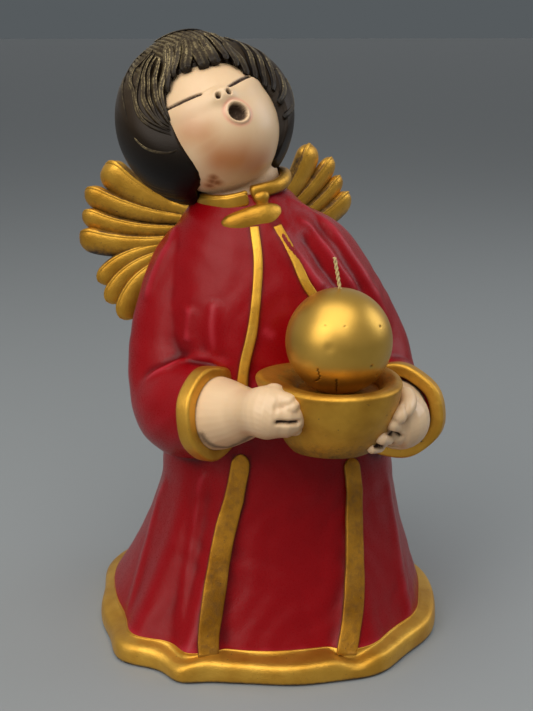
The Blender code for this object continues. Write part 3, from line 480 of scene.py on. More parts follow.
def antique_gold(name, bright, deep, rough=0.42):
    """Gold lacquer rubbed over a brown ground: satin metal on the crests, brown in the grooves and where a piece stores
    painted shade.
    """
    material, tree, shader = new_finish(name)
    # Brush marks 3 mm apart and flecks of 0.5 mm
    brush = noise(tree, 330.0, 6.0, 0.7)
    fleck = noise(tree, 1500.0, 3.0, 0.7)
    metal = mix(tree, ranged(tree, noise(tree, 60.0, 3.0), 0.35, 0.65), bright, deep)
    # Brown where a piece stores wash, and where it stores painted shade, and along the brush strokes
    wash_shade_and_strokes = maths(tree, "ADD", *painted(tree, "wash_and_shade"), maths(tree, "MULTIPLY_ADD", brush, 0.9, -0.45), clamp=True)
    # Scattered pinholes 0.6 mm across, where the brown shows through
    pin = ranged(tree, noise(tree, 650.0, 1.0), 0.75, 0.79, 0.0, 0.5)
    brown = ranged(tree, maths(tree, "ADD", wash_shade_and_strokes, pin, clamp=True), 0.1, 0.7)
    strokes = bump(tree, 0.4, 0.0007, brush)
    fill(tree, shader, Base_Color=mix(tree, brown, metal, "#2a1605"), Metallic=ranged(tree, brown, 0.0, 1.0, 0.85, 0.1),
         Roughness=ranged(tree, brown, 0.0, 1.0, rough, 0.55), Normal=bump(tree, 0.45, 0.00025, fleck, Normal=strokes))
    return material


HEM_GOLD = antique_gold("hem_gold_lacquer", "#dcaa44", "#c48e2e")


def hem_reach(angle, inset):
    return HEM_HALF - 0.0003 + 0.75 * waves(FOLDS, angle) + waves(HEM_WAVES, angle) + inset


# Height and inset of the rim's outline, from the foot up over the crest and in to the robe
HEM_OUTLINE = np.array([
    (0.0, -0.003), (0.0003, -0.0015), (0.0012, -0.0004), (0.003, 0.0), (0.0058, -0.0001),
    (0.008, -0.0004), (0.0098, -0.0012), (0.0108, -0.0026), (0.0113, -0.0044), (0.0117, -0.0064),
    (0.0121, -0.0084), (0.0125, -0.0104), (0.0127, -0.0116), (0.01, -0.017),
])
hem_angles = np.linspace(-180, 180, 720, endpoint=False)
hem_curve = smooth_rows(HEM_OUTLINE, 3)
hem_turn = np.radians(hem_angles)
robe_reach = np.linalg.norm(robe_point(hem_angles, HEM_TOP + 0.001)[:, :2], axis=1)
hem_rings = []
for height, inset in hem_curve:
    reach = hem_reach(hem_angles, inset)
    if inset < -0.004:
        ledge = ease(-0.004, -0.012, inset)
        reach = reach * (1 - ledge) + (robe_reach + 0.0006 - 0.9 * (-0.0106 - inset) * (inset < -0.0106)) * ledge
    crest = ease(0.004, 0.0105, height) * (1 - ease(-0.007, -0.0105, inset))
    hem_rings.append(level_ring(hem_turn, reach, height + waves(HEM_DIPS, hem_angles) * crest))
hem = as_piece("hem", *closed_form(np.array(hem_rings)), HEM_GOLD)
hem_at, _ = points_of(hem.data)
hem_groove = ease(0.0088, 0.012, np.repeat(-hem_curve[:, 1], len(hem_angles)))
hem_foot = 1 - ease(0.0004, 0.003, hem_at[:, 2])
store(hem.data, "wash_and_shade", 0.05 * hem_groove + 0.7 * hem_foot)
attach(hem, "root")
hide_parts("angel_figure")


# Foot
# The underside is left bare: a flat ring that stands on the table, a shallow recess inside it, and the round
# vent through which the mould was drained and the kiln's air passed.

FOOT_RING = 0.013
VENT_HALF = 0.011


def bare_clay():
    """Unglazed white earthenware: chalky, pale and a little dusty."""
    material, tree, shader = new_finish("bare_earthenware")
    dust = noise(tree, 250.0, 5.0)
    fill(tree, shader, Base_Color=mix(tree, dust, "#cdbfa6", "#e2d8c4"), Roughness=0.88,
         Normal=bump(tree, 0.3, 0.0004, dust))
    return material


foot_ring = HEM_HALF - FOOT_RING
FOOT_OUTLINE = (
    (0.056, 0.0515), (0.0555, 0.0065), (VENT_HALF + 0.001, 0.006), (VENT_HALF, 0.0052), (VENT_HALF, 0.0028),
    (VENT_HALF + 0.0008, 0.002), (foot_ring - 0.001, 0.002), (foot_ring, 0.001), (foot_ring + 0.0006, 0.0001),
    (foot_ring + 0.004, 0.0001), (foot_ring + 0.004, 0.0075), (0.057, 0.008), (0.057, 0.0525),
)
foot_turn = np.radians(np.linspace(0, 360, 96, endpoint=False))
foot_rings = [level_ring(foot_turn, reach, height) for reach, height in FOOT_OUTLINE]
foot = as_piece("foot", *closed_form(np.array(foot_rings)), bare_clay())
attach(foot, "root")
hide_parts("angel_figure")


# Gold edges of the coat
# Flat bands stand proud along both edges of the open coat, from the hem to the hands and from the bowl to the
# collar. They are part of the casting, gilt like the hem. Brown wear and painted shade lie along the middle of
# their faces, more of both over the skirt, where the gold itself is darker as painted shade.

# Half thicknesses and half widths are for each millimetre of a band's half width
SKIRT_SECTION = (0.0016 / 7, 0.001)
CHEST_SECTION = (0.0016 / 3.6, 0.0009)


def swept_tree():
    """Geometry nodes that sweep an oval section along a guide, its size and its facing read from the guide."""
    tree = bpy.data.node_groups.new("oval_along_a_guide", "GeometryNodeTree")
    for name, kind in (("Guide", "Geometry"), ("Half thickness", "Float"), ("Half width", "Float"),
                       ("Squareness", "Float"), ("Corners", "Int"), ("Ripples", "Float"),
                       ("Ripple depth", "Float"), ("Finish", "Material")):
        tree.interface.new_socket(name, in_out="INPUT", socket_type="NodeSocket" + kind)
    tree.interface.new_socket("Piece", in_out="OUTPUT", socket_type="NodeSocketGeometry")
    given = add_node(tree, "NodeGroupInput").outputs
    path = add_node(tree, "GeometryNodeMeshToCurve", Mesh=given["Guide"])
    facing = add_node(tree, "GeometryNodeInputNamedAttribute", {"data_type": "FLOAT_VECTOR"}, Name="facing")
    turned = add_node(tree, "GeometryNodeSetCurveNormal", {"mode": "FREE"}, Curve=path.outputs[0])
    tree.links.new(facing.outputs[0], turned.inputs["Normal"])
    along = add_node(tree, "GeometryNodeSplineParameter").outputs["Factor"]
    on_path = add_node(tree, "GeometryNodeStoreNamedAttribute", {"data_type": "FLOAT", "domain": "POINT"},
                       Geometry=turned.outputs[0], Name="along", Value=along)
    ring = add_node(tree, "GeometryNodeCurvePrimitiveCircle", Resolution=given["Corners"], Radius=1.0)
    around = add_node(tree, "GeometryNodeStoreNamedAttribute", {"data_type": "FLOAT", "domain": "POINT"},
                      Geometry=ring.outputs[0], Name="around", Value=along)
    wave = maths(tree, "COSINE", maths(tree, "MULTIPLY", maths(tree, "MULTIPLY", along, 2 * math.pi), given["Ripples"]))
    depth = maths(tree, "MULTIPLY_ADD", wave, given["Ripple depth"], 1.0)
    # Squareness pulls the round section out towards a box with rounded corners
    parts = add_node(tree, "ShaderNodeSeparateXYZ", Vector=add_node(tree, "GeometryNodeInputPosition").outputs[0])
    power = maths(tree, "MULTIPLY_ADD", given["Squareness"], -0.7, 1.0)
    squared = []
    for part, half in zip(parts.outputs, (given["Half thickness"], given["Half width"])):
        raised = maths(tree, "POWER", maths(tree, "ABSOLUTE", part), power)
        squared.append(maths(tree, "MULTIPLY", maths(tree, "MULTIPLY", raised, maths(tree, "SIGN", part)), half))
    sized = add_node(tree, "ShaderNodeCombineXYZ", X=squared[0], Y=squared[1])
    rippled = add_node(tree, "ShaderNodeVectorMath", {"operation": "SCALE"}, Vector=sized.outputs[0], Scale=depth)
    shaped = add_node(tree, "GeometryNodeSetPosition", Geometry=around.outputs[0], Position=rippled.outputs[0])
    size = add_node(tree, "GeometryNodeInputNamedAttribute", {"data_type": "FLOAT"}, Name="size")
    swept = add_node(tree, "GeometryNodeCurveToMesh", Curve=on_path.outputs[0], Profile_Curve=shaped.outputs[0],
                     Scale=size.outputs[0], Fill_Caps=True)
    whole = add_node(tree, "GeometryNodeRealizeInstances", Geometry=swept.outputs[0])
    finished = add_node(tree, "GeometryNodeSetMaterial", Geometry=whole.outputs[0], Material=given["Finish"])
    add_node(tree, "NodeGroupOutput", Piece=finished.outputs[0])
    return tree


SWEPT = swept_tree()


def sweep(name, guides, finish, half_thickness, half_width, corners=20, ripples=0.0, ripple_depth=0.0, square=0.0):
    """Pieces swept along guides of points, sizes and facings, as one mesh."""
    points, edges, sizes, facings = [], [], [], []
    for guide_points, guide_sizes, guide_facings in guides:
        start = len(points)
        points += (np.asarray(guide_points) + PLACE).tolist()
        edges += [(start + i, start + i + 1) for i in range(len(guide_points) - 1)]
        sizes += list(guide_sizes)
        facings += np.asarray(guide_facings).tolist()
    mesh = bpy.data.meshes.new(name + "_guide")
    mesh.from_pydata(points, edges, [])
    mesh.attributes.new("size", "FLOAT", "POINT").data.foreach_set("value", sizes)
    mesh.attributes.new("facing", "FLOAT_VECTOR", "POINT").data.foreach_set("vector", np.ravel(facings))
    guide = in_scene(name + "_guide", mesh)
    maker = guide.modifiers.new("sweep", "NODES")
    maker.node_group = SWEPT
    settings = {"Half thickness": half_thickness, "Half width": half_width, "Corners": corners,
                "Ripples": ripples, "Ripple depth": ripple_depth, "Squareness": square, "Finish": finish}
    for item in SWEPT.interface.items_tree:
        if item.name in settings:
            maker[item.identifier] = settings[item.name]
    made = made_of(guide, name)
    face_outwards(made)
    return in_scene(name, made)


def value_of(mesh, name):
    found = np.empty(len(mesh.vertices), np.float32)
    mesh.attributes[name].data.foreach_get("value", found)
    return found.astype(float)


def band_guide(curve, low, high, rounded_top):
    """Guide along a coat edge between two shares of the shoulder's height."""
    share = np.linspace(low, high, 160)
    angle = np.interp(share, curve[:, 0], curve[:, 1])
    width = np.interp(share, curve[:, 0], curve[:, 2])
    wobble = 1 + 0.018 * np.sin(share * 43) + 0.01 * np.sin(share * 97 + 1)
    top = blunt((share - high) / 0.026 + 1, 0.03) if rounded_top else 1.0
    height = share * SHOULDER
    middle = robe_point(angle, height)
    side = robe_point(angle + 1, height) - robe_point(angle - 1, height)
    side[:, 2] = 0
    side = unit(side)
    outward = np.stack([side[:, 1], -side[:, 0], np.zeros(len(share))], -1)
    return middle + outward * 0.0001, width * 500 * wobble * top, outward


# The bands over the skirt get a darker copy of the gold, as painted shade
BAND_SKIRT = antique_gold("coat_edge_gold_worn", "#b98226", "#905f12", 0.46)
BAND_CHEST = antique_gold("coat_edge_gold", "#d9a63c", "#bd8a2a")
skirt_bands = sweep("skirt_bands", [
    band_guide(LEFT_EDGE_CURVE, 0.05, 0.496, True),
    band_guide(RIGHT_EDGE_CURVE, 0.05, 0.468, True),
], BAND_SKIRT, *SKIRT_SECTION, corners=40, square=0.8)
chest_bands = sweep("chest_bands", [
    band_guide(LEFT_EDGE_CURVE, 0.6, 1.01, False),
    band_guide(RIGHT_EDGE_CURVE, 0.52, 1.01, False),
], BAND_CHEST, *CHEST_SECTION, corners=40, square=0.7)
# Brown wear and painted shade on the middle of each band's faces, heavier over the skirt, and a brown line along the
# thin edges
for bands, face_wear_and_shade in ((skirt_bands, 0.24), (chest_bands, 0.1)):
    around = value_of(bands.data, "around")
    share = value_of(bands.data, "along")
    patch = 0.5 + 0.25 * np.sin(share * 23 + 2 * np.sin(share * 9)) + 0.25 * np.sin(share * 61 + 4 * around)
    store(bands.data, "wash_and_shade", face_wear_and_shade * np.abs(np.cos(2 * np.pi * around)) ** 1.5 * (0.4 + 0.6 * patch)
          + 0.4 * np.abs(np.sin(2 * np.pi * around)) ** 14)
    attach(bands, "root")
    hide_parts("angel_figure")


# Cuffs
# A raised gold band ends each bell sleeve, its mouth rolled to a soft lip and sunk round the wrist. The sunk
# mouth is darkened with painted shade, and the back edge of the band is brown.

CUFF_LENGTH = 0.009


def sleeve_end(rows):
    x, y, drop, _ = rows[-1]
    return np.array([x, y, SHOULDER - drop])


def cuff_piece(name, rows, axis, seed):
    """A rolled band about the sleeve's end, uneven as if pressed by hand, with its sunk mouth."""
    axis = unit(axis)
    radius = rows[-1][3]
    outline = smooth_rows([
        (-0.0006, -0.0015), (0.0, 0.0006), (0.0006, 0.0017), (0.0016, 0.0021), (0.0062, 0.0021),
        (0.0074, 0.0018), (0.0081, 0.0009), (0.0083, -0.0008), (0.0083, -0.0032), (0.0075, -0.0044),
        (0.0052, -0.0049), (0.0024, -0.0051), (0.0, -0.007), (0.0, -0.012),
    ], 3)
    turn = 2 * np.pi * np.arange(160)[:, None] / 160
    uneven = 0.00035 * np.sin(3 * turn + seed) + 0.00025 * np.sin(7 * turn + 2 * seed)
    rings = [ring_about(sleeve_end(rows) + axis * (forward - CUFF_LENGTH / 2), axis,
                        radius + rise + uneven * (rise > -0.006), len(turn)) for forward, rise in outline]
    piece = as_piece(name, *closed_form(np.array(rings)), CUFF_GOLD)
    forward, rise = np.repeat(outline, len(turn), axis=0).T
    # Painted shade in the sunk mouth, a little brown over the band, and brown along its back edge
    store(piece.data, "wash_and_shade", 0.9 * ease(0.0038, 0.005, -rise) + 0.1 * ease(0.0002, 0.002, -rise)
          + 0.6 * (1 - ease(0.0, 0.0008, forward)))
    return piece


CUFF_GOLD = antique_gold("cuff_gold_lacquer", "#d8a540", "#c08c2e")
for cuff in (cuff_piece("left_cuff", LEFT_SLEEVE, LEFT_CUFF_AXIS, 0.6),
             cuff_piece("right_cuff", RIGHT_SLEEVE, RIGHT_CUFF_AXIS, 2.1)):
    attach(cuff, "root")
    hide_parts("angel_figure")


# Bowl
# A small deep bowl, cast with the hands, whose thick soft rim stands round a shallow dish. It is gilt a shade
# darker than the trimmings, with the rim rubbed bright and brown wash in the dish. Its lower outside wall is
# darkened with a painted reflection of the robe.

BOWL = np.array([*BOWL_MIDDLE, SHOULDER - 0.0625])
BOWL_HALF = 0.033
BOWL_DEPTH = 0.0355
DISH = 0.0063
LIP_TURN = -122.0
LIP_REACH = 0.0075


def bowl_radius(height):
    share = np.clip((height - (BOWL[2] - BOWL_DEPTH)) / BOWL_DEPTH, 0, 1)
    return BOWL_HALF * (0.48 + 0.51 * np.sin(np.pi / 2 * share ** 0.92))


def bowl_place(angle, height, out=0.0):
    return level_ring(np.radians(angle), bowl_radius(height) + out, height, *BOWL_MIDDLE)


def round_from(degrees, turn):
    """Radians from a place round the bowl, the shorter way."""
    return (turn - math.radians(degrees) + math.pi) % (2 * math.pi) - math.pi


rim_top = BOWL[2]
bowl_base = rim_top - BOWL_DEPTH
bowl_wall = [(bowl_radius(z), z) for z in np.linspace(bowl_base + 0.001, rim_top - 0.0035, 26)]
bowl_foot = [(0.001, bowl_base + 0.0012), (bowl_radius(bowl_base) - 0.002, bowl_base)]
bowl_rim = smooth_rows([
    (BOWL_HALF - 0.0004, rim_top - 0.003), (BOWL_HALF - 0.0003, rim_top - 0.0017),
    (BOWL_HALF - 0.0011, rim_top - 0.0006), (BOWL_HALF - 0.0028, rim_top), (BOWL_HALF - 0.0055, rim_top - 0.0002),
    (BOWL_HALF - 0.0085, rim_top - 0.001), (BOWL_HALF - 0.011, rim_top - 0.0026),
    (BOWL_HALF - 0.0132, rim_top - DISH + 0.0014), (BOWL_HALF - 0.0155, rim_top - DISH),
    (0.001, rim_top - DISH),
], 4)
bowl_outline = np.array(bowl_foot + bowl_wall + bowl_rim.tolist())
bowl_turn = 2 * np.pi * np.arange(180) / 180
bowl_rings = []
for radius, height in bowl_outline:
    high = ease(rim_top - 0.016, rim_top - 0.003, height)
    low = 1 - ease(bowl_base + 0.004, rim_top - 0.018, height)
    soft = 0.00025 * np.sin(2 * bowl_turn + 1.0) * ease(0.012, 0.028, radius)
    # The lip drawn out over the left hand, the flat side at the right hand and the swell low on the left
    soft = soft + LIP_REACH * hump(round_from(LIP_TURN, bowl_turn), 0.55) * high * ease(0.02, 0.031, radius)
    soft = soft - 0.0026 * hump(round_from(76, bowl_turn), 0.6) * ease(0.024, 0.031, radius)
    soft = soft + 0.0055 * hump(round_from(-100, bowl_turn), 0.9) * low * ease(0.008, 0.014, radius)
    bowl_rings.append(level_ring(bowl_turn, radius + soft, height, *BOWL_MIDDLE))
BOWL_GOLD = antique_gold("bowl_gold_lacquer", "#cc9a38", "#ab7a24", 0.44)
bowl = as_piece("bowl", *closed_form(np.array(bowl_rings)), BOWL_GOLD)
in_dish = np.arange(len(bowl_outline)) > len(bowl_foot) + len(bowl_wall) + 18
# Brown wash in the dish, and a painted reflection of the robe that darkens the lower outside wall
bowl_wash_and_reflection = 0.22 * in_dish + 0.45 * (1 - ease(bowl_base, rim_top - 0.022, bowl_outline[:, 1])) * ~in_dish
store(bowl.data, "wash_and_shade", np.repeat(bowl_wash_and_reflection, len(bowl_turn)))
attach(bowl, "root")
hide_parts("angel_figure")


# Hands
# Plump forearms come out of the cuffs and hold the bowl with short fingers, modelled as one soft form with
# pressed gaps. They wear a satin flesh glaze. Painted shade darkens the gaps and hollows, the wrists where
# they go into the cuffs and a line under the left forearm, and their undersides carry a painted warm reflection.

LEFT_PALM = BOWL[2] - 0.013
RIGHT_PALM = BOWL[2] - 0.0235


def flesh_glaze(name):
    """Satin flesh glaze with an airbrushed blush and brown wash in the grooves; the same tints also paint shade and
    warm reflections.
    """
    material, tree, shader = new_finish(name)
    blush_and_painted_light, lips, wash_and_shade = painted(tree, "blush_and_painted_light", "lips", "wash_and_shade")
    # Specks of wash 1.5 mm apart where the cloth missed them
    speck = noise(tree, 700.0, 4.0, 0.7)
    torn = maths(tree, "MULTIPLY_ADD", speck, 1.2, -0.62, clamp=True)
    brown = maths(tree, "SUBTRACT", wash_and_shade, torn, clamp=True)
    colour = mix(tree, noise(tree, 60.0, 3.0), "#d8b58c", "#e4c7a0")
    for share, tint in ((blush_and_painted_light, "#b3682c"), (lips, "#e3a286"), (brown, "#2c1408")):
        colour = mix(tree, share, colour, tint)
    fill(tree, shader, Base_Color=colour, Roughness=ranged(tree, brown, 0.0, 1.0, 0.34, 0.85),
         Normal=bump(tree, 0.12, 0.0003, speck), Subsurface_Weight=0.08, Subsurface_Radius=(0.004, 0.002, 0.001))
    return material


def limb_form(rows, corners=28):
    """A limb with rounded ends along centres with a radius each."""
    rows = smooth_rows(rows, 5)
    ends = []
    for tip, inner in ((rows[0], rows[1]), (rows[-1], rows[-2])):
        away = unit(tip[:3] - inner[:3]) * tip[3]
        ends.append([np.append(tip[:3] + away * share, tip[3] * math.sqrt(1 - share ** 2))
                     for share in (0.35, 0.75, 0.93)])
    return closed_form(limb_rings(np.array([*ends[0][::-1], *rows, *ends[1]]), corners))


def finger_form(height, thick, start, reach, bend=0.0):
    """A short blunt finger lying round the bowl's wall."""
    angles = np.linspace(start, reach, 6)
    rows = []
    for i, angle in enumerate(angles):
        share = i / 5
        out = thick * (0.25 + 0.3 * math.sin(math.pi * min(share * 1.15, 1)))
        rows.append((*bowl_place(angle, height + bend * share, out), thick * (1.05 - 0.16 * share)))
    return limb_form(rows, 20)


left_wrist_start = sleeve_end(LEFT_SLEEVE)
left_palm = bowl_place(-75, LEFT_PALM + 0.0015, 0.0065)
left_arm_rows = [
    (*(left_wrist_start - LEFT_CUFF_AXIS * 0.01), 0.0172),
    (*(left_wrist_start + LEFT_CUFF_AXIS * 0.004), 0.018),
    (*(left_wrist_start * 0.52 + left_palm * 0.48 + np.array([0.001, 0.001, -0.001])), 0.0138),
    (*(left_wrist_start * 0.28 + left_palm * 0.72), 0.0112),
    (*left_palm, 0.0126),
    (*bowl_place(-67, LEFT_PALM + 0.001, 0.002), 0.0108),
]
left_hand = run_together("left_hand", [
    limb_form(left_arm_rows),
    finger_form(LEFT_PALM + 0.0084, 0.0058, -78, -58, -0.0014),
    finger_form(LEFT_PALM + 0.0022, 0.0042, -78, -55, 0.0),
    finger_form(LEFT_PALM - 0.0062, 0.0038, -82, -60, 0.0004),
], grain=0.00055, rounds=5, finish=flesh_glaze("hand_flesh_glaze"))

right_wrist_start = sleeve_end(RIGHT_SLEEVE)
right_arm_rows = [
    (*(right_wrist_start - RIGHT_CUFF_AXIS * 0.01), 0.0165),
    (*(right_wrist_start + RIGHT_CUFF_AXIS * 0.006), 0.0165),
    (*bowl_place(88, RIGHT_PALM, 0.006), 0.0145),
    (*bowl_place(80, RIGHT_PALM, 0.002), 0.0108),
]
right_hand = run_together("right_hand", [
    limb_form(right_arm_rows),
    finger_form(RIGHT_PALM + 0.014, 0.0042, 78, 50, -0.0055),
    finger_form(RIGHT_PALM - 0.004, 0.0036, 76, 47, 0.0085),
    finger_form(RIGHT_PALM - 0.0078, 0.0036, 76, 38, 0.0062),
    finger_form(RIGHT_PALM - 0.01, 0.003, 76, 33, 0.0032),
], grain=0.00055, rounds=5, finish=left_hand.data.materials[0])

# Gaps pressed with a stick: half width, depth, then places along each
LEFT_GAPS = (
    (0.0011, 0.003, (-0.0205, -0.1027, 0.1411), (-0.0164, -0.1026, 0.1408), (-0.0107, -0.1015, 0.1403)),
    (0.0018, 0.001, (-0.0206, -0.101, 0.1477), (-0.016, -0.1012, 0.1489), (-0.0113, -0.1009, 0.1507)),
)
RIGHT_GAPS = (
    (0.0011, 0.003, (0.0335, -0.096, 0.1312), (0.036, -0.0968, 0.13), (0.0415, -0.0945, 0.1264)),
    (0.001, 0.0028, (0.0279, -0.0979, 0.1248), (0.0328, -0.0951, 0.1228), (0.0382, -0.0925, 0.1216)),
    (0.001, 0.001, (0.0413, -0.0965, 0.1438), (0.042, -0.1, 0.1415), (0.043, -0.0975, 0.136)),
)
# A line of painted shade under the left forearm
ARM_SHADE = (
    (-0.0485, -0.0675, 0.126), (-0.0462, -0.0668, 0.1221), (-0.0418, -0.0664, 0.1191),
    (-0.0351, -0.0666, 0.1183), (-0.031, -0.073, 0.1232), (-0.027, -0.087, 0.13),
)


def press_gaps(hand, gaps):
    """Presses the gaps in, and returns how deep each point lies in one."""
    at, out = points_of(hand.data)
    pressed = np.zeros(len(at))
    for half, depth, *places in gaps:
        # The stick comes from the front, so distance along it counts for less
        away, _ = beside(at * (1, 0.3, 1), smooth_rows(places, 4) * (1, 0.3, 1))
        pressed = np.maximum(pressed, depth * hump(away, half) * ease(0.0, 0.5, -out[:, 1]))
    set_points(hand.data, at - out * pressed[:, None])
    return pressed


for hand, start, axis, gaps in ((left_hand, left_wrist_start, unit(LEFT_CUFF_AXIS), LEFT_GAPS),
                                (right_hand, right_wrist_start, unit(RIGHT_CUFF_AXIS), RIGHT_GAPS)):
    pressed = press_gaps(hand, gaps)
    at, out = points_of(hand.data)
    deep = sunk(hand.data, 16)
    from_cuff = (at - start) @ axis
    ring = 1 - ease(0.003, 0.005, from_cuff)
    below = ease(0.2, 0.9, -out[:, 2])
    # Painted shade: dark in the pressed gaps and other hollows, round the wrists where they go into the cuffs, in
    # hollows that face down, and in a line under the left forearm
    store(hand.data, "wash_and_shade", np.maximum(1.2 * ease(0.0002, 0.0006, deep), 0.95 * ease(0.0013, 0.0022, pressed))
          + 0.8 * ring + 0.35 * below * ease(0.0001, 0.0004, deep)
          + 0.75 * hump(beside(at, ARM_SHADE)[0], 0.0021))
    # A painted warm reflection on the undersides, as from the robe and gold below them, and a little warm painted shade
    # in the hollows
    store(hand.data, "blush_and_painted_light", 0.3 * ease(-0.3, 1.0, -out[:, 2]) + 0.18 * ease(0.00005, 0.0004, deep))
    store(hand.data, "lips", np.zeros(len(at)))
    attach(hand, "root")
    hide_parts("angel_figure")


# Face and neck
# A round doll's face turned up to sing, cast with the neck. The closed eyes are two cut grooves painted dark
# brown, the mouth is an open well with a raised rim, and the cheek and throat have an airbrushed blush. Painted
# shade browns the underside of the jaw and chin, and a dark line of painted shade lies on the neck at the collar.

HEAD = np.array([-0.029, 0.0134, SHOULDER + 0.0523])
NECK = np.array([-0.013, 0.003, SHOULDER + 0.024])
FACE_HALF = (0.0315, 0.031)
FOREHEAD, CHIN = 0.04, 0.033
# Azimuth and elevation on the face, with the eyes from the nose outwards
EYES = (((-19.4, 2.1), (-36.3, 7.3), (-52.5, 14.1)), ((5.6, -3.6), (23.6, 3.3), (44.4, 12.4)))
EYE_HALF = 0.00085
NOSE = (-3.3, -9.0)
NOSTRILS = ((-8.2, -9.5), (1.5, -10.0))
NOSTRIL_HALF = 0.00125
MOUTH = (3.0, -28.3)
MOUTH_HALF = 0.0043
MOUTH_LONG = 1.07
MOUTH_TURN = -38.0
MOUTH_DEPTH = 0.0055
LIP_RISE, LIP_HALF = 0.0009, 0.00075
NOSE_RISE, NOSE_HALF = 0.0027, 0.005
NOSTRIL_DEPTH = 0.0032
EYE_DEPTH = 0.0011
CHEEK_RISE = 0.0009


def turn_about(axis, degrees):
    c, s = math.cos(math.radians(degrees)), math.sin(math.radians(degrees))
    return {"X": np.array([[1, 0, 0], [0, c, -s], [0, s, c]]),
            "Y": np.array([[c, 0, s], [0, 1, 0], [-s, 0, c]]),
            "Z": np.array([[c, -s, 0], [s, c, 0], [0, 0, 1]])}[axis]


HEAD_FRAME = turn_about("Y", -17.2) @ turn_about("Z", 12.2) @ turn_about("X", -44.6)
FACE = HEAD + HEAD_FRAME @ np.array([-0.0015, -0.0049, -0.0136])


def direction(azimuth, elevation):
    """Unit vectors in the head's own frame, by degrees round from the nose and up."""
    side, up = np.radians(azimuth), np.radians(elevation)
    side, up = np.broadcast_arrays(side, up)
    return np.stack([np.sin(side) * np.cos(up), -np.cos(side) * np.cos(up), np.sin(up)], -1)


def angles_of(local):
    """Azimuth and elevation of points in the head's own frame."""
    return (np.degrees(np.arctan2(local[:, 0], -local[:, 1])),
            np.degrees(np.arcsin(local[:, 2] / np.linalg.norm(local, axis=1))))


def egg_reach(towards, wide, deep, high):
    return 1 / np.sqrt((towards[..., 0] / wide) ** 2 + (towards[..., 1] / deep) ** 2 + (towards[..., 2] / high) ** 2)


def face_place(azimuth, elevation, out=0.0):
    towards = direction(azimuth, elevation)
    high = np.where(np.asarray(elevation) > 0, FOREHEAD, CHIN)
    reach = egg_reach(towards, *FACE_HALF, high) + out
    return FACE + (towards * reach[..., None]) @ HEAD_FRAME.T


face_rings = face_place(np.linspace(-180, 180, 120, endpoint=False)[None, :], np.linspace(-88, 88, 60)[:, None])
neck_top = HEAD * 0.3 + FACE * 0.7
neck_rows = [
    (*(NECK - np.array([0, 0, 0.016])), 0.0222), (*(NECK - np.array([0, 0, 0.007])), 0.0216),
    (*(NECK + np.array([-0.0012, -0.001, 0.002])), 0.019),
    (*(NECK * 0.55 + neck_top * 0.45 - np.array([0.0015, 0.003, 0])), 0.0207),
    (*(NECK * 0.15 + neck_top * 0.85 - np.array([0.0015, 0.0012, 0])), 0.0238),
]
face = run_together("face", [closed_form(face_rings), limb_form(neck_rows, 48)], grain=0.00056, rounds=23,
                    finish=flesh_glaze("face_flesh_glaze"))

face_at, _ = points_of(face.data)
radial = unit(face_at - FACE)


def face_frame(place):
    outward = HEAD_FRAME @ direction(*place)
    side = HEAD_FRAME @ np.array([1.0, 0, 0])
    side = unit(side - outward * (side @ outward))
    return side, np.cross(outward, side), outward


def on_face(place, long=1.0, turned=0.0):
    """Distance across the face from a place to every point of it, in an oval of the given length and turn."""
    side, up, outward = face_frame(place)
    away = face_at - face_place(*place)
    c, s = math.cos(math.radians(turned)), math.sin(math.radians(turned))
    flat = np.hypot((away @ side * c + away @ up * s) / long, (away @ up * c - away @ side * s) * long)
    return np.where((away @ outward) > -0.012, flat, 1.0)


move = np.zeros(len(face_at))
mouth_away = on_face(MOUTH, MOUTH_LONG, MOUTH_TURN)
well = 1 - ease(MOUTH_HALF - 0.0006, MOUTH_HALF + 0.0003, mouth_away)
move += LIP_RISE * hump(mouth_away - MOUTH_HALF - 0.0009, LIP_HALF)
move -= MOUTH_DEPTH * well * (1 - 0.25 * (mouth_away / MOUTH_HALF) ** 2)
move += NOSE_RISE * np.exp(-(on_face(NOSE, 1.15) / NOSE_HALF) ** 2.6)
nostril = np.zeros(len(face_at))
for place in NOSTRILS:
    nostril = np.maximum(nostril, 1 - ease(NOSTRIL_HALF - 0.0004, NOSTRIL_HALF + 0.0003, on_face(place, 0.9)))
move -= NOSTRIL_DEPTH * nostril
slit = np.zeros(len(face_at))
face_azimuth, face_elevation = angles_of((face_at - FACE) @ HEAD_FRAME)
for eye_places, way in zip(EYES, (-1, 1)):
    line = smooth_rows(eye_places, 8)
    away, share = beside(face_at, face_place(line[:, 0], line[:, 1]))
    half = EYE_HALF * (0.45 + 0.55 * np.sin(np.pi * np.clip(share * 0.8 + 0.1, 0, 1)))
    slit = np.maximum(slit, 1 - ease(half - 0.0001, half + 0.00055, away))
    # The cheek stands proud of the brow along the eye
    under = ease(-1.5, 1.5, np.interp(face_azimuth * way, line[:, 0] * way, line[:, 1]) - face_elevation)
    move += CHEEK_RISE * under * ease(0.0002, 0.0018, away) * (1 - ease(0.003, 0.011, away))
move -= EYE_DEPTH * slit
set_points(face.data, face_at + radial * move[:, None])

# Blush sprayed on, and painted shade under the jaw and chin: strength, half width, then places along each
# stroke. The first stroke is the cheek's blush, the next three are the painted shade, the last is the throat's blush.
BLUSH_AND_CHIN_SHADE = (
    (0.55, 0.008, face_place(-47, -18), face_place(-40, -28)),
    (0.55, 0.0085, face_place(-44, -42), (-0.03, -0.0295, 0.251)),
    (0.85, 0.0095, (-0.03, -0.0295, 0.251), (-0.02, -0.029, 0.251)),
    (0.8, 0.0095, (-0.02, -0.029, 0.251), (-0.011, -0.024, 0.2485)),
    (0.25, 0.006, (-0.02, -0.0231, 0.2412), (-0.015, -0.0231, 0.2412)),
)
blush_and_painted_light = np.zeros(len(face_at))
for strength, half, start, end in BLUSH_AND_CHIN_SHADE:
    away, _ = beside(face_at, [start, end])
    blush_and_painted_light = np.maximum(blush_and_painted_light, strength * hump(away, half))
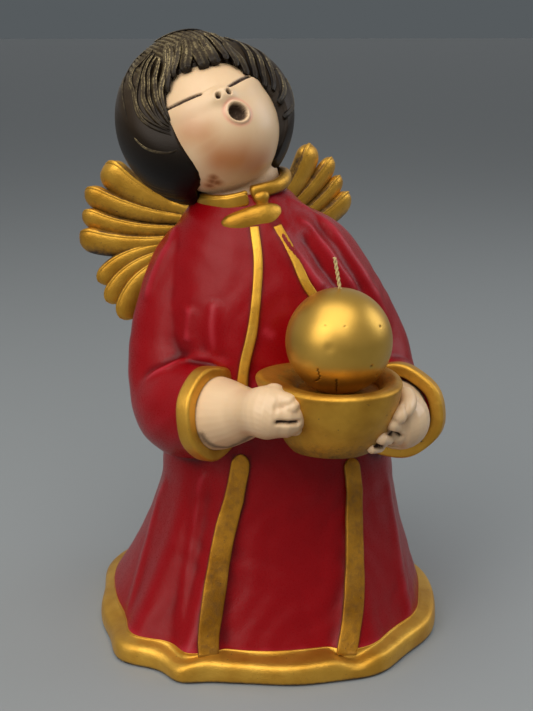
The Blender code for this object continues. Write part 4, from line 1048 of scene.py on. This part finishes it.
# Specks of wash under the chin, each inside a patch of the painted shade
SPOTS = ((-0.0325, -0.0238, 0.242), (-0.0328, -0.0217, 0.2399), (-0.0303, -0.0218, 0.2392), (-0.0334, -0.0184, 0.2373))
spots = np.zeros(len(face_at))
for place in SPOTS:
    away = np.linalg.norm(face_at - place, axis=1)
    blush_and_painted_light = np.maximum(blush_and_painted_light, 0.85 * hump(away, 0.0034))
    spots = np.maximum(spots, 0.5 * hump(away, 0.0019))
mouth_paint = 1 - ease(MOUTH_HALF - 0.0001, MOUTH_HALF + 0.0004, mouth_away)
# The cheek's and throat's blush, with painted shade under the jaw and chin
store(face.data, "blush_and_painted_light", blush_and_painted_light)
store(face.data, "lips", 0.75 * hump(mouth_away - MOUTH_HALF - 0.0023, 0.0008))
# A dark line of painted shade on the neck where it goes into the collar
collar_line_shade = 1 - ease(0.0, 0.005, np.abs((face_at - NECK)[:, 2] + 0.0035 - 0.17 * (face_at - NECK)[:, 0]))
store(face.data, "wash_and_shade", np.maximum.reduce([1.3 * slit, 1.3 * nostril, 0.95 * mouth_paint, 0.45 * collar_line_shade, spots]))
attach(face, "root")
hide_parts("angel_figure")


# Hair
# A thick bowl cut, cast as one cap: smooth and near black at the back and below, combed into rounded locks
# over the brow and beside the cheeks. Bronze is dry-brushed over the ridges of the locks.

HAIR_HALF = (0.046, 0.047, 0.04475)
HAIR_FLAT = 0.0095
# Azimuth and elevation along the cap's edge
HAIRLINE = np.array([
    (-180, -55), (-130, -52), (-108, -54), (-92, -58), (-80, -60), (-70, -57), (-63, -50), (-58, -40), (-54, -31),
    (-49, -19), (-44, -4), (-37, 8), (-30, 16), (-20, 15), (-7, 13), (4, 8), (14, 8), (22, 10), (28, 5), (34, -4),
    (42, -12), (49, -18), (56, -27), (61, -38), (65, -52), (70, -64), (80, -72), (110, -72), (140, -66), (180, -55),
], float)


def hair_glaze():
    """Near-black brown glaze, satin, with bronze dry-brushed over what stands proud."""
    material, tree, shader = new_finish("hair_glaze")
    ridge, deep = painted(tree, "ridge", "deep")
    # The dry brush skips, in streaks 1 mm across, and takes more in patches 8 mm across
    skip = noise(tree, 900.0, 4.0, 0.75)
    taken = ranged(tree, noise(tree, 120.0, 2.0), 0.38, 0.62, 0.25, 1.1)
    brushed = maths(tree, "MULTIPLY", ridge, ranged(tree, skip, 0.4, 0.58))
    bronze = maths(tree, "MULTIPLY", brushed, taken, clamp=True)
    colour = mix(tree, bronze, mix(tree, deep, "#281d10", "#0a0503"), "#9f8f68")
    fill(tree, shader, Base_Color=colour, Metallic=ranged(tree, bronze, 0.0, 1.0, 0.0, 0.55), Roughness=0.4,
         Specular_IOR_Level=0.16, Normal=bump(tree, 0.3, 0.0003, skip))
    return material


HAIR_GLAZE = hair_glaze()


def hairline(azimuth):
    return np.interp(azimuth, HAIRLINE[:, 0], HAIRLINE[:, 1])


def hair_reach(azimuth, elevation):
    towards = direction(azimuth, elevation)
    ball = egg_reach(towards, *HAIR_HALF)
    side = 1 - ease(44, 74, np.abs(azimuth))
    height = (1 - ease(14, 60, elevation)) * (1 - ease(5, 56, -np.asarray(elevation, float)))
    return ball - HAIR_FLAT * side * height


def hair_place(azimuth, elevation, out=0.0):
    azimuth, elevation = np.broadcast_arrays(np.asarray(azimuth, float), np.asarray(elevation, float))
    reach = hair_reach(azimuth, elevation) + out
    return HEAD + (direction(azimuth, elevation) * reach[..., None]) @ HEAD_FRAME.T


def combed(azimuth, elevation):
    """Depth of the furrows combed over the crown and down the back, and where the crown stands between them."""
    flow = azimuth + 0.3 * (elevation - 20) + 5 * np.sin(np.radians(2.3 * elevation + 3 * azimuth))
    broad = np.exp(-(np.abs((flow + 9) % 18 - 9) / 2.2) ** 1.4)
    fine = np.exp(-(np.abs((flow + 1.5 * np.sin(np.radians(7 * elevation)) + 3) % 6 - 3) / 0.9) ** 1.6)
    top = 1 - ease(76, 88, elevation)
    behind = ease(100, 130, np.abs(azimuth)) * ease(-58, -30, elevation) * top
    crown = (1 - ease(60, 90, np.abs(azimuth))) * ease(30, 40, elevation) * top
    return 0.0011 * broad * behind + fine * (0.00035 * behind + 0.0007 * crown), crown * (1 - fine)


cap_azimuth = np.linspace(-180, 180, 480, endpoint=False)
cap_rings = []
for share in np.linspace(0.02, 1.0, 150):
    elevation = 90 + (hairline(cap_azimuth) - 90) * share
    front = 1 - ease(40, 70, np.abs(cap_azimuth))
    tuck = -0.0027 * front * ease(0.3, 0.75, share)
    lip = -0.0016 * ease(0.96, 1.0, share)
    cap_rings.append(hair_place(cap_azimuth, elevation, tuck + lip - combed(cap_azimuth, elevation)[0]))
for drop, reach in ((1.0, 0.0345), (3.0, 0.03), (8.0, 0.022)):
    elevation = np.maximum(hairline(cap_azimuth) - drop, -86)
    cap_rings.append(HEAD + (direction(cap_azimuth, elevation) * reach) @ HEAD_FRAME.T)
hair_cap = as_piece("hair_cap", *closed_form(np.array(cap_rings)), HAIR_GLAZE)
cap_at, _ = points_of(hair_cap.data)
cap_local = (cap_at - HEAD) @ HEAD_FRAME
_, crown_ridge = combed(*angles_of(cap_local))
store(hair_cap.data, "ridge", 0.1 * ease(0.0, 0.03, cap_local[:, 2]) + 0.55 * crown_ridge ** 3)
store(hair_cap.data, "deep", 1 - ease(-0.03, 0.01, (cap_at - HEAD)[:, 2]))

# Locks: half width, share of it lost at the tip, then azimuth and elevation from the crown to the tip
LOCKS = (
    (0.0016, 0.5, (-29, 43), (-44, 43), (-55, 41), (-60, 31), (-60, 21), (-62, 7), (-63, -2), (-62, -10),
     (-59, -19), (-56, -27)),
    (0.0012, 0.6, (-32, 41), (-45, 39), (-53, 30), (-58, 20), (-61, 8), (-61, -2), (-59, -12), (-55, -25)),
    (0.0021, 0.6, (-30, 39), (-40, 37), (-49, 31), (-53, 21), (-56, 11), (-57, 1), (-57, -9), (-56, -18), (-54, -24)),
    (0.0013, 0.6, (-30, 35), (-41, 31), (-47, 24), (-52, 10), (-54, -2), (-55, -12), (-53, -22)),
    (0.002, 0.6, (-29, 32), (-36, 26), (-43, 20), (-47, 10), (-50, -2), (-51, -13), (-52, -21)),
    (0.0019, 0.6, (-19, 39), (-24, 29), (-30, 20), (-37, 13), (-43, 6), (-47, -4), (-49, -13), (-50, -19)),
    (0.0022, 0.4, (-17, 40), (-18, 32), (-24, 23), (-30, 15), (-34, 8), (-39, 1)),
    (0.0024, 0.3, (-8, 36), (-14, 28), (-20, 21), (-25, 15), (-28, 9)),
    (0.0032, 0.1, (-1, 36), (-5, 27), (-11, 18), (-15, 12), (-17, 7)),
    (0.0033, 0.1, (5, 35), (2, 25), (0, 16), (-2, 8), (-3, 2)),
    (0.0033, 0.1, (14, 34), (12, 24), (10, 15), (8, 8), (7, 2)),
    (0.0024, 0.3, (21, 38), (24, 30), (23, 21), (20, 11), (18, 4)),
    (0.0024, 0.3, (36, 41), (37, 31), (31, 17), (26, 5), (24, -4)),
    (0.0027, 0.3, (31, 40), (36, 29), (36, 14), (31, -3), (29, -13)),
    (0.0027, 0.3, (52, 41), (60, 34), (56, 18), (46, 0), (38, -15)),
    (0.0028, 0.4, (60, 39), (65, 29), (61, 16), (55, 1), (49, -14), (45, -22)),
    (0.0028, 0.4, (66, 31), (68, 18), (62, 3), (58, -11), (53, -24)),
    (0.003, 0.4, (64, -2), (65, -12), (62, -23), (53, -34)),
    (0.0026, 0.4, (70, -8), (74, -20), (71, -31), (58, -43)),
    (0.0007, 0.5, (-36, 50), (-56, 54), (-65, 40), (-67, 27), (-68, 13), (-72, -5)),
    (0.0008, 0.5, (-74, -8), (-74, -17), (-71, -25), (-66, -32), (-60, -36)),
    (0.0008, 0.5, (-24, 58), (-6, 55), (12, 52), (30, 52), (48, 53)),
)
LOCK_FLAT = 0.66
lock_guides = []
for half, narrowing, *knots in LOCKS:
    path = smooth_rows(knots, 9)
    share = np.linspace(0, 1, len(path))
    size = half * (0.72 + 0.28 * ease(0.0, 0.4, share)) * (1 - narrowing * ease(0.5, 1.0, share))
    size = size * blunt(1 - share / 0.09, 0.04) * blunt((share - 0.88) / 0.12, 0.02)
    out = -0.0001 + 0.0004 * ease(40, 60, np.abs(path[:, 0])) - LOCK_FLAT * size - 0.0012 * ease(0.85, 1.0, share)
    middle = hair_place(path[:, 0], path[:, 1], out)
    lock_guides.append((middle, size, unit(middle - HEAD)))
locks = sweep("hair_locks", lock_guides, HAIR_GLAZE, LOCK_FLAT, 1.0, corners=44, ripples=6.0,
              ripple_depth=0.07)
lock_at, lock_out = points_of(locks.data)
lock_along = value_of(locks.data, "along")
outward = (lock_out * unit(lock_at - HEAD)).sum(-1)
strand_top = 0.2 + 0.8 * ease(-0.2, 0.9, np.cos(12 * np.pi * value_of(locks.data, "around")))
store(locks.data, "ridge", 1.2 * strand_top * ease(0.35, 0.85, outward) * (1 - 0.9 * ease(0.45, 0.9, lock_along))
      + 0.9 * ease(0.2, 0.7, outward) * (1 - ease(0.02, 0.1, lock_along)))
store(locks.data, "deep", 0.8 * (1 - ease(0.1, 0.7, outward)) + 0.6 * ease(0.6, 0.95, lock_along))
for piece in (hair_cap, locks):
    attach(piece, "root")
    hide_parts("angel_figure")


# Collar and toggle
# A standing collar, open at the front, closed by a long lozenge toggle and its knot. All of it is cast on the
# robe and gilt. Painted shade darkens the faces that turn downwards, and a dark line of painted shade lies on
# the neck where it meets the collar.

COLLAR = np.array([-0.0125, 0.003, SHOULDER + 0.0172])
COLLAR_HALF = 0.0235
collar_frame = turn_about("Z", -14) @ turn_about("Y", -11) @ turn_about("X", 6)
collar_gold = antique_gold("collar_gold_lacquer", "#d09c36", "#aa7a24", 0.36)


def collar_guide(start, end, half, rise, inward=0.0):
    """Guide round the neck between two turns from the front, with blunt ends."""
    turn = np.radians(np.linspace(start, end, 90))
    reach = COLLAR_HALF - inward * (1 - ease(0, 60, np.degrees(np.abs(turn))))
    local = np.stack([np.sin(turn) * reach, -np.cos(turn) * reach * 1.04, 0.0003 * np.sin(5 * turn) + rise], -1)
    out = np.stack([np.sin(turn), -np.cos(turn), np.zeros(90)], -1)
    from_end = np.degrees(np.minimum(turn - turn[0], turn[-1] - turn))
    size = half * blunt(1 - from_end / 3.0, 0.3)
    return COLLAR + local @ collar_frame.T, size, out @ collar_frame.T


collar = sweep("collar_band", [collar_guide(-190, 8, 0.0033, -0.0006)], collar_gold, 0.55, 1.0, 40, square=0.8)
collar_edge = sweep("collar_edge", [collar_guide(-190, 8.5, 0.0014, 0.0023)], collar_gold, 1.0, 1.0, 24)
collar_roll = sweep("collar_roll", [collar_guide(13, 172, 0.0036, 0.0012, 0.002)], collar_gold, 0.8, 1.0, 32,
                    square=0.2)

# The toggle's middle line, then its half height
TOGGLE = (
    (-0.028, -0.0215, 0.2163, 0.003), (-0.0245, -0.0228, 0.2178, 0.0052), (-0.019, -0.024, 0.2193, 0.0062),
    (-0.013, -0.0243, 0.2206, 0.0068), (-0.006, -0.0237, 0.2217, 0.007), (-0.001, -0.0222, 0.222, 0.006),
    (0.0025, -0.0205, 0.2217, 0.004),
)
toggle_path = smooth_rows(TOGGLE, 8)
toggle_share = np.linspace(0, 1, len(toggle_path))
toggle_ends = blunt((np.abs(toggle_share - 0.5) - 0.44) / 0.06, 0.04)
toggle_face = unit(np.array([-0.08, -1.0, 0.12]))
toggle = sweep("toggle", [
    (toggle_path[:, :3], toggle_path[:, 3] * toggle_ends, np.tile(toggle_face, (len(toggle_path), 1))),
], collar_gold, 0.68, 1.0, 40, square=0.15)
# The knot's middle line, then its half width
KNOT = (
    (-0.0085, -0.019, 0.2352, 0.0022), (-0.0083, -0.02, 0.2335, 0.004), (-0.008, -0.0206, 0.2312, 0.0043),
    (-0.0077, -0.021, 0.2287, 0.0033), (-0.0074, -0.0214, 0.2262, 0.0034), (-0.007, -0.0218, 0.2235, 0.005),
)
knot_path = smooth_rows(KNOT, 6)
knot = sweep("toggle_knot", [(knot_path[:, :3], knot_path[:, 3], np.tile([0.0, -1.0, 0.0], (len(knot_path), 1)))],
             collar_gold, 0.85, 1.0, 28)
for piece in (collar, collar_edge, collar_roll, toggle, knot):
    _, normal = points_of(piece.data)
    # Painted shade: darker on the faces that turn downwards, under the collar, the toggle and the knot
    store(piece.data, "wash_and_shade", 0.75 * ease(0.1, 0.9, -normal[:, 2]))
    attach(piece, "root")
    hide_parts("angel_figure")


# Wings
# Two short swept wings stand out of the back, each of seven thick feathers fanned from one root. The ridges
# are bright gold, the grooves between the feathers are brown, and faces that turn downwards are darkened with painted
# shade.

WING_ROOTS = (np.array([-0.027, 0.041, SHOULDER - 0.003]), np.array([0.0045, 0.041, SHOULDER - 0.012]))
WING_LIFTS = (0.0, 22.0)
WING_SWEEP = 25.0
# Feathers: root, bend and tip as outward and upward distances, half width
FEATHERS = (
    ((-0.004, 0.002), (0.034, 0.004), (0.0535, 0.027), 0.0102),
    ((-0.004, -0.001), (0.037, -0.004), (0.0655, 0.0125), 0.0076),
    ((-0.004, -0.005), (0.042, -0.014), (0.0675, 0.0), 0.0068),
    ((-0.004, -0.009), (0.042, -0.023), (0.0697, -0.0128), 0.0084),
    ((-0.002, -0.014), (0.043, -0.018), (0.057, -0.04), 0.0074),
    ((-0.002, -0.017), (0.041, -0.022), (0.0525, -0.051), 0.0072),
    ((-0.002, -0.02), (0.037, -0.026), (0.044, -0.06), 0.008),
)
FEATHER_TILT = 26.0
CREST = 0.3
wing_gold = antique_gold("wing_gold_lacquer", "#dca63c", "#c18b2a", 0.4)
feather_guides = []
for way, root, lift in zip((-1, 1), WING_ROOTS, WING_LIFTS):
    level = np.array([way * math.cos(math.radians(WING_SWEEP)), math.sin(math.radians(WING_SWEEP)), 0])
    rise = math.radians(lift)
    across = level * math.cos(rise) + np.array([0, 0, math.sin(rise)])
    upward = np.array([0, 0, math.cos(rise)]) - level * math.sin(rise)
    front = way * unit(np.cross(across, upward))
    for start, bend, tip, half in FEATHERS:
        t = np.linspace(0, 1, 44)[:, None]
        flat = (1 - t) ** 2 * np.array(start) + 2 * t * (1 - t) * np.array(bend) + t * t * np.array(tip)
        share = t[:, 0]
        size = half * (0.44 + 0.56 * ease(0.0, 0.85, share)) * blunt((share - 0.86) / 0.14, 0.015)
        middle = root + flat[:, :1] * across + flat[:, 1:] * upward
        middle[:, 1] -= 0.008 * (1 - ease(0.0, 0.3, share))
        run = unit(np.gradient(middle, axis=0))
        over = unit(np.cross(front, run)) * way
        over = over * np.sign((over @ upward)[:, None] + 1e-9)
        tilt = math.radians(FEATHER_TILT)
        facing = front * math.cos(tilt) - over * math.sin(tilt)
        feather_guides.append((middle, size, facing))
        # A rounded crest runs along the upper edge of each feather
        lip = over * math.cos(tilt) + front * math.sin(tilt)
        crest = middle + lip * size[:, None] * (1 - CREST) * 0.95 + front * size[:, None] * 0.16
        feather_guides.append((crest, size * CREST, facing))
wings = sweep("wings", feather_guides, wing_gold, 0.55, 1.0, 32, square=0.1)
_, wing_out = points_of(wings.data)
wing_along = value_of(wings.data, "along")
flank = np.abs(np.sin(2 * np.pi * value_of(wings.data, "around")))
# Painted shade on faces that turn downwards, brown in the grooves between the feathers, and a little brown near their
# roots
store(wings.data, "wash_and_shade", 0.75 * ease(0.15, 0.9, -wing_out[:, 2]) * (1 - ease(0.86, 1.0, wing_along))
      + 0.55 * ease(0.8, 1.0, flank) * (1 - ease(0.8, 0.95, wing_along)) + 0.2 * (1 - ease(0.0, 0.3, wing_along)))
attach(wings, "root")
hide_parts("angel_figure")


# Ball candle
# A 50 mm ball of paraffin wax, pressed in two halves and dipped in gold lacquer, which has pinholes and a few
# fine cracks near the base. It stands on a small flat in the dish.

BALL_HALF = 0.025
BALL_FLAT = 0.008
BALL_BASE = BOWL[2] - DISH + 0.0003
ball_middle = BALL_BASE + math.sqrt(BALL_HALF ** 2 - BALL_FLAT ** 2)

# Dents and pinholes by degrees round from the front and up, their half width and depth; then the cracks
BALL_PITS = (
    (-27.4, 6.0, 0.0024, 0.0003), (37.7, 24.9, 0.0005, 0.0005), (20.9, -15.4, 0.0007, 0.0006),
    (35.8, -30.1, 0.0006, 0.0005), (-34.5, 30.3, 0.0003, 0.0004), (-10.7, 29.7, 0.0003, 0.0004),
    (48.7, -60.0, 0.0005, 0.0005),
)
BALL_CRACKS = (((-41, -17), (-41, -30), (-49, -36)), ((-20, -30), (-20, -43), (-21, -58)))


def candle_lacquer():
    """Gold lacquer over wax: a soft satin metal, with a painted warm reflection of the bowl on its lower part."""
    material, tree, shader = new_finish("candle_gold_lacquer")
    low, marks = painted(tree, "low", "marks")
    metal = mix(tree, noise(tree, 90.0, 4.0), "#c0963f", "#c9a04a")
    fill(tree, shader, Base_Color=mix(tree, marks, mix(tree, low, metal, "#c9892a"), "#2a1606"), Metallic=0.9,
         Roughness=0.38, Normal=bump(tree, 0.14, 0.0002, noise(tree, 1500.0, 3.0)))
    return material


ball_turn = 2 * np.pi * np.arange(320) / 320
ball_polar = np.linspace(math.asin(BALL_FLAT / BALL_HALF), math.pi - 0.045, 210)
ball_rings = [level_ring(ball_turn, BALL_HALF * math.sin(p), ball_middle - BALL_HALF * math.cos(p), *BOWL_MIDDLE)
              for p in ball_polar]
ball = as_piece("candle_ball", *closed_form(np.array(ball_rings)), candle_lacquer())
ball_at, _ = points_of(ball.data)
ball_centre = np.array([*BOWL_MIDDLE, ball_middle])
marks = np.zeros(len(ball_at))
hollows = np.zeros(len(ball_at))
for azimuth, elevation, half, depth in BALL_PITS:
    away = np.linalg.norm(ball_at - ball_centre - direction(azimuth, elevation) * BALL_HALF, axis=1)
    hollows += depth * hump(away, half)
    marks = np.maximum(marks, (depth > 0.00035) * 0.85 * hump(away, half * 0.75))
for crack in BALL_CRACKS:
    line = smooth_rows(crack, 8)
    line[1:-1, 0] += 1.1 * np.sin(np.arange(1, len(line) - 1) * 2.3)
    away, _ = beside(ball_at, ball_centre + direction(line[:, 0], line[:, 1]) * BALL_HALF)
    hollows += 0.0004 * hump(away, 0.0003)
    marks = np.maximum(marks, hump(away, 0.00028))
set_points(ball.data, ball_at - unit(ball_at - ball_centre) * hollows[:, None])
store(ball.data, "marks", marks)
# Painted reflection: the lower part tinted warm, as by the gold bowl
store(ball.data, "low", 0.8 * (1 - ease(BALL_BASE + 0.002, BALL_BASE + 0.014, ball_at[:, 2])))
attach(ball, "root")
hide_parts("ball_candle")


# Wick
# Two cotton strands twisted together and stiffened with wax, straw-coloured, 15 mm out of the ball and
# leaning a little.

WICK_HALF = 0.001
WICK_OUT = 0.015
WICK_LEAN = 0.0028
WICK_TWIST = 0.005


def waxed_cotton():
    """Waxed cotton: a dull straw colour, mottled lighter and darker in flecks about half a millimetre across."""
    material, tree, shader = new_finish("waxed_cotton")
    fill(tree, shader, Base_Color=mix(tree, noise(tree, 1800.0, 4.0), "#a98f58", "#d9c690"), Roughness=0.75)
    return material


wick_top = ball_middle + BALL_HALF
wick_share = np.linspace(0, 1, 60)
# From inside the ball to the wick's trimmed end
wick_height = BALL_BASE + 0.0056 + (wick_top + WICK_OUT - 0.0004 - BALL_BASE - 0.0056) * wick_share
wick_lean = np.clip((wick_height - wick_top) / WICK_OUT, 0, 1)
strand_half = WICK_HALF * 0.53
off = WICK_HALF * 0.46
strand_guides = []
for strand in range(2):
    turn = 2 * np.pi * (strand / 2 + (wick_height - wick_top) / WICK_TWIST)
    middle = np.stack([BOWL[0] - WICK_LEAN * wick_lean + off * np.cos(turn), BOWL[1] + off * np.sin(turn),
                       wick_height], -1)
    strand_guides.append((middle, np.ones(len(turn)), np.tile([0.0, -1.0, 0.0], (len(turn), 1))))
wick = sweep("twisted_wick", strand_guides, waxed_cotton(), strand_half, strand_half, corners=12)
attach(wick, "root")
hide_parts("candle_wick")


# Studio
# A plain pale table under a broad soft lamp overhead, a window at the left and a weaker one at the right.

table_mesh = bpy.data.meshes.new("table")
table_mesh.from_pydata([(-60, -60, 0), (60, -60, 0), (60, 60, 0), (-60, 60, 0)], [], [(0, 1, 2, 3)])
table = in_scene("table", table_mesh)
table_finish, table_tree, table_shader = new_finish("pale_table")
fill(table_tree, table_shader, Base_Color=linear("#8f9496"), Roughness=0.6)
table_mesh.materials.append(table_finish)

LAMPS = (
    ("overhead", (-0.3, -0.5, 1.25), 1.5, 17.5, "#fffaf4"),
    ("window_left", (-1.3, -0.8, 0.85), 1.1, 9.0, "#fff8f0"),
    ("window_right", (1.3, 0.0, 0.8), 0.8, 5.0, "#f4f8ff"),
)
aim = np.array([0.0, 0.0, 0.16])
for name, spot, size, power, tint in LAMPS:
    lamp = bpy.data.lights.new(name, "AREA")
    lamp.size = size
    lamp.energy = power
    lamp.color = linear(tint)[:3]
    holder = in_scene(name, lamp)
    holder.location = spot
    away = np.array(spot) - aim
    yaw = math.atan2(away[1], away[0])
    pitch = math.acos(away[2] / np.linalg.norm(away))
    holder.rotation_euler = (pitch, 0, yaw + math.pi / 2)

world = bpy.data.worlds.new("studio")
world.use_nodes = True
bpy.context.scene.world = world
sky = world.node_tree
# The room is dim; the camera sees the same grey as the far table, and gloss sees a paler wall
room = sky.nodes["Background"]
fill(sky, room, Color=linear("#c9cdd0"), Strength=0.32)
wall = add_node(sky, "ShaderNodeBackground", Color=linear("#e4e6e8"), Strength=0.46)
backdrop = add_node(sky, "ShaderNodeBackground", Color=linear("#565b5e"), Strength=1.0)
ray = add_node(sky, "ShaderNodeLightPath").outputs
mirrored = add_node(sky, "ShaderNodeMixShader", Fac=ray["Is Glossy Ray"], Shader=room.outputs[0],
                    Shader_001=wall.outputs[0])
shown = add_node(sky, "ShaderNodeMixShader", Fac=ray["Is Camera Ray"], Shader=mirrored.outputs[0],
                 Shader_001=backdrop.outputs[0])
fill(sky, sky.nodes["World Output"], Surface=shown.outputs[0])
bpy.context.scene.view_settings.view_transform = "Standard"

CAMERA_TURN = math.radians(-14)
CAMERA_DOWN = math.radians(15.5)
CAMERA_REACH = 0.6
CAMERA_HEIGHT = 0.31
eye = bpy.data.cameras.new("camera")
eye.lens = 59
eye.sensor_width = 36
camera = in_scene("camera", eye)
camera.location = level_ring(CAMERA_TURN, CAMERA_REACH, CAMERA_HEIGHT, *PLACE[:2])
camera.rotation_euler = (math.pi / 2 - CAMERA_DOWN, 0, CAMERA_TURN)
bpy.context.scene.camera = camera
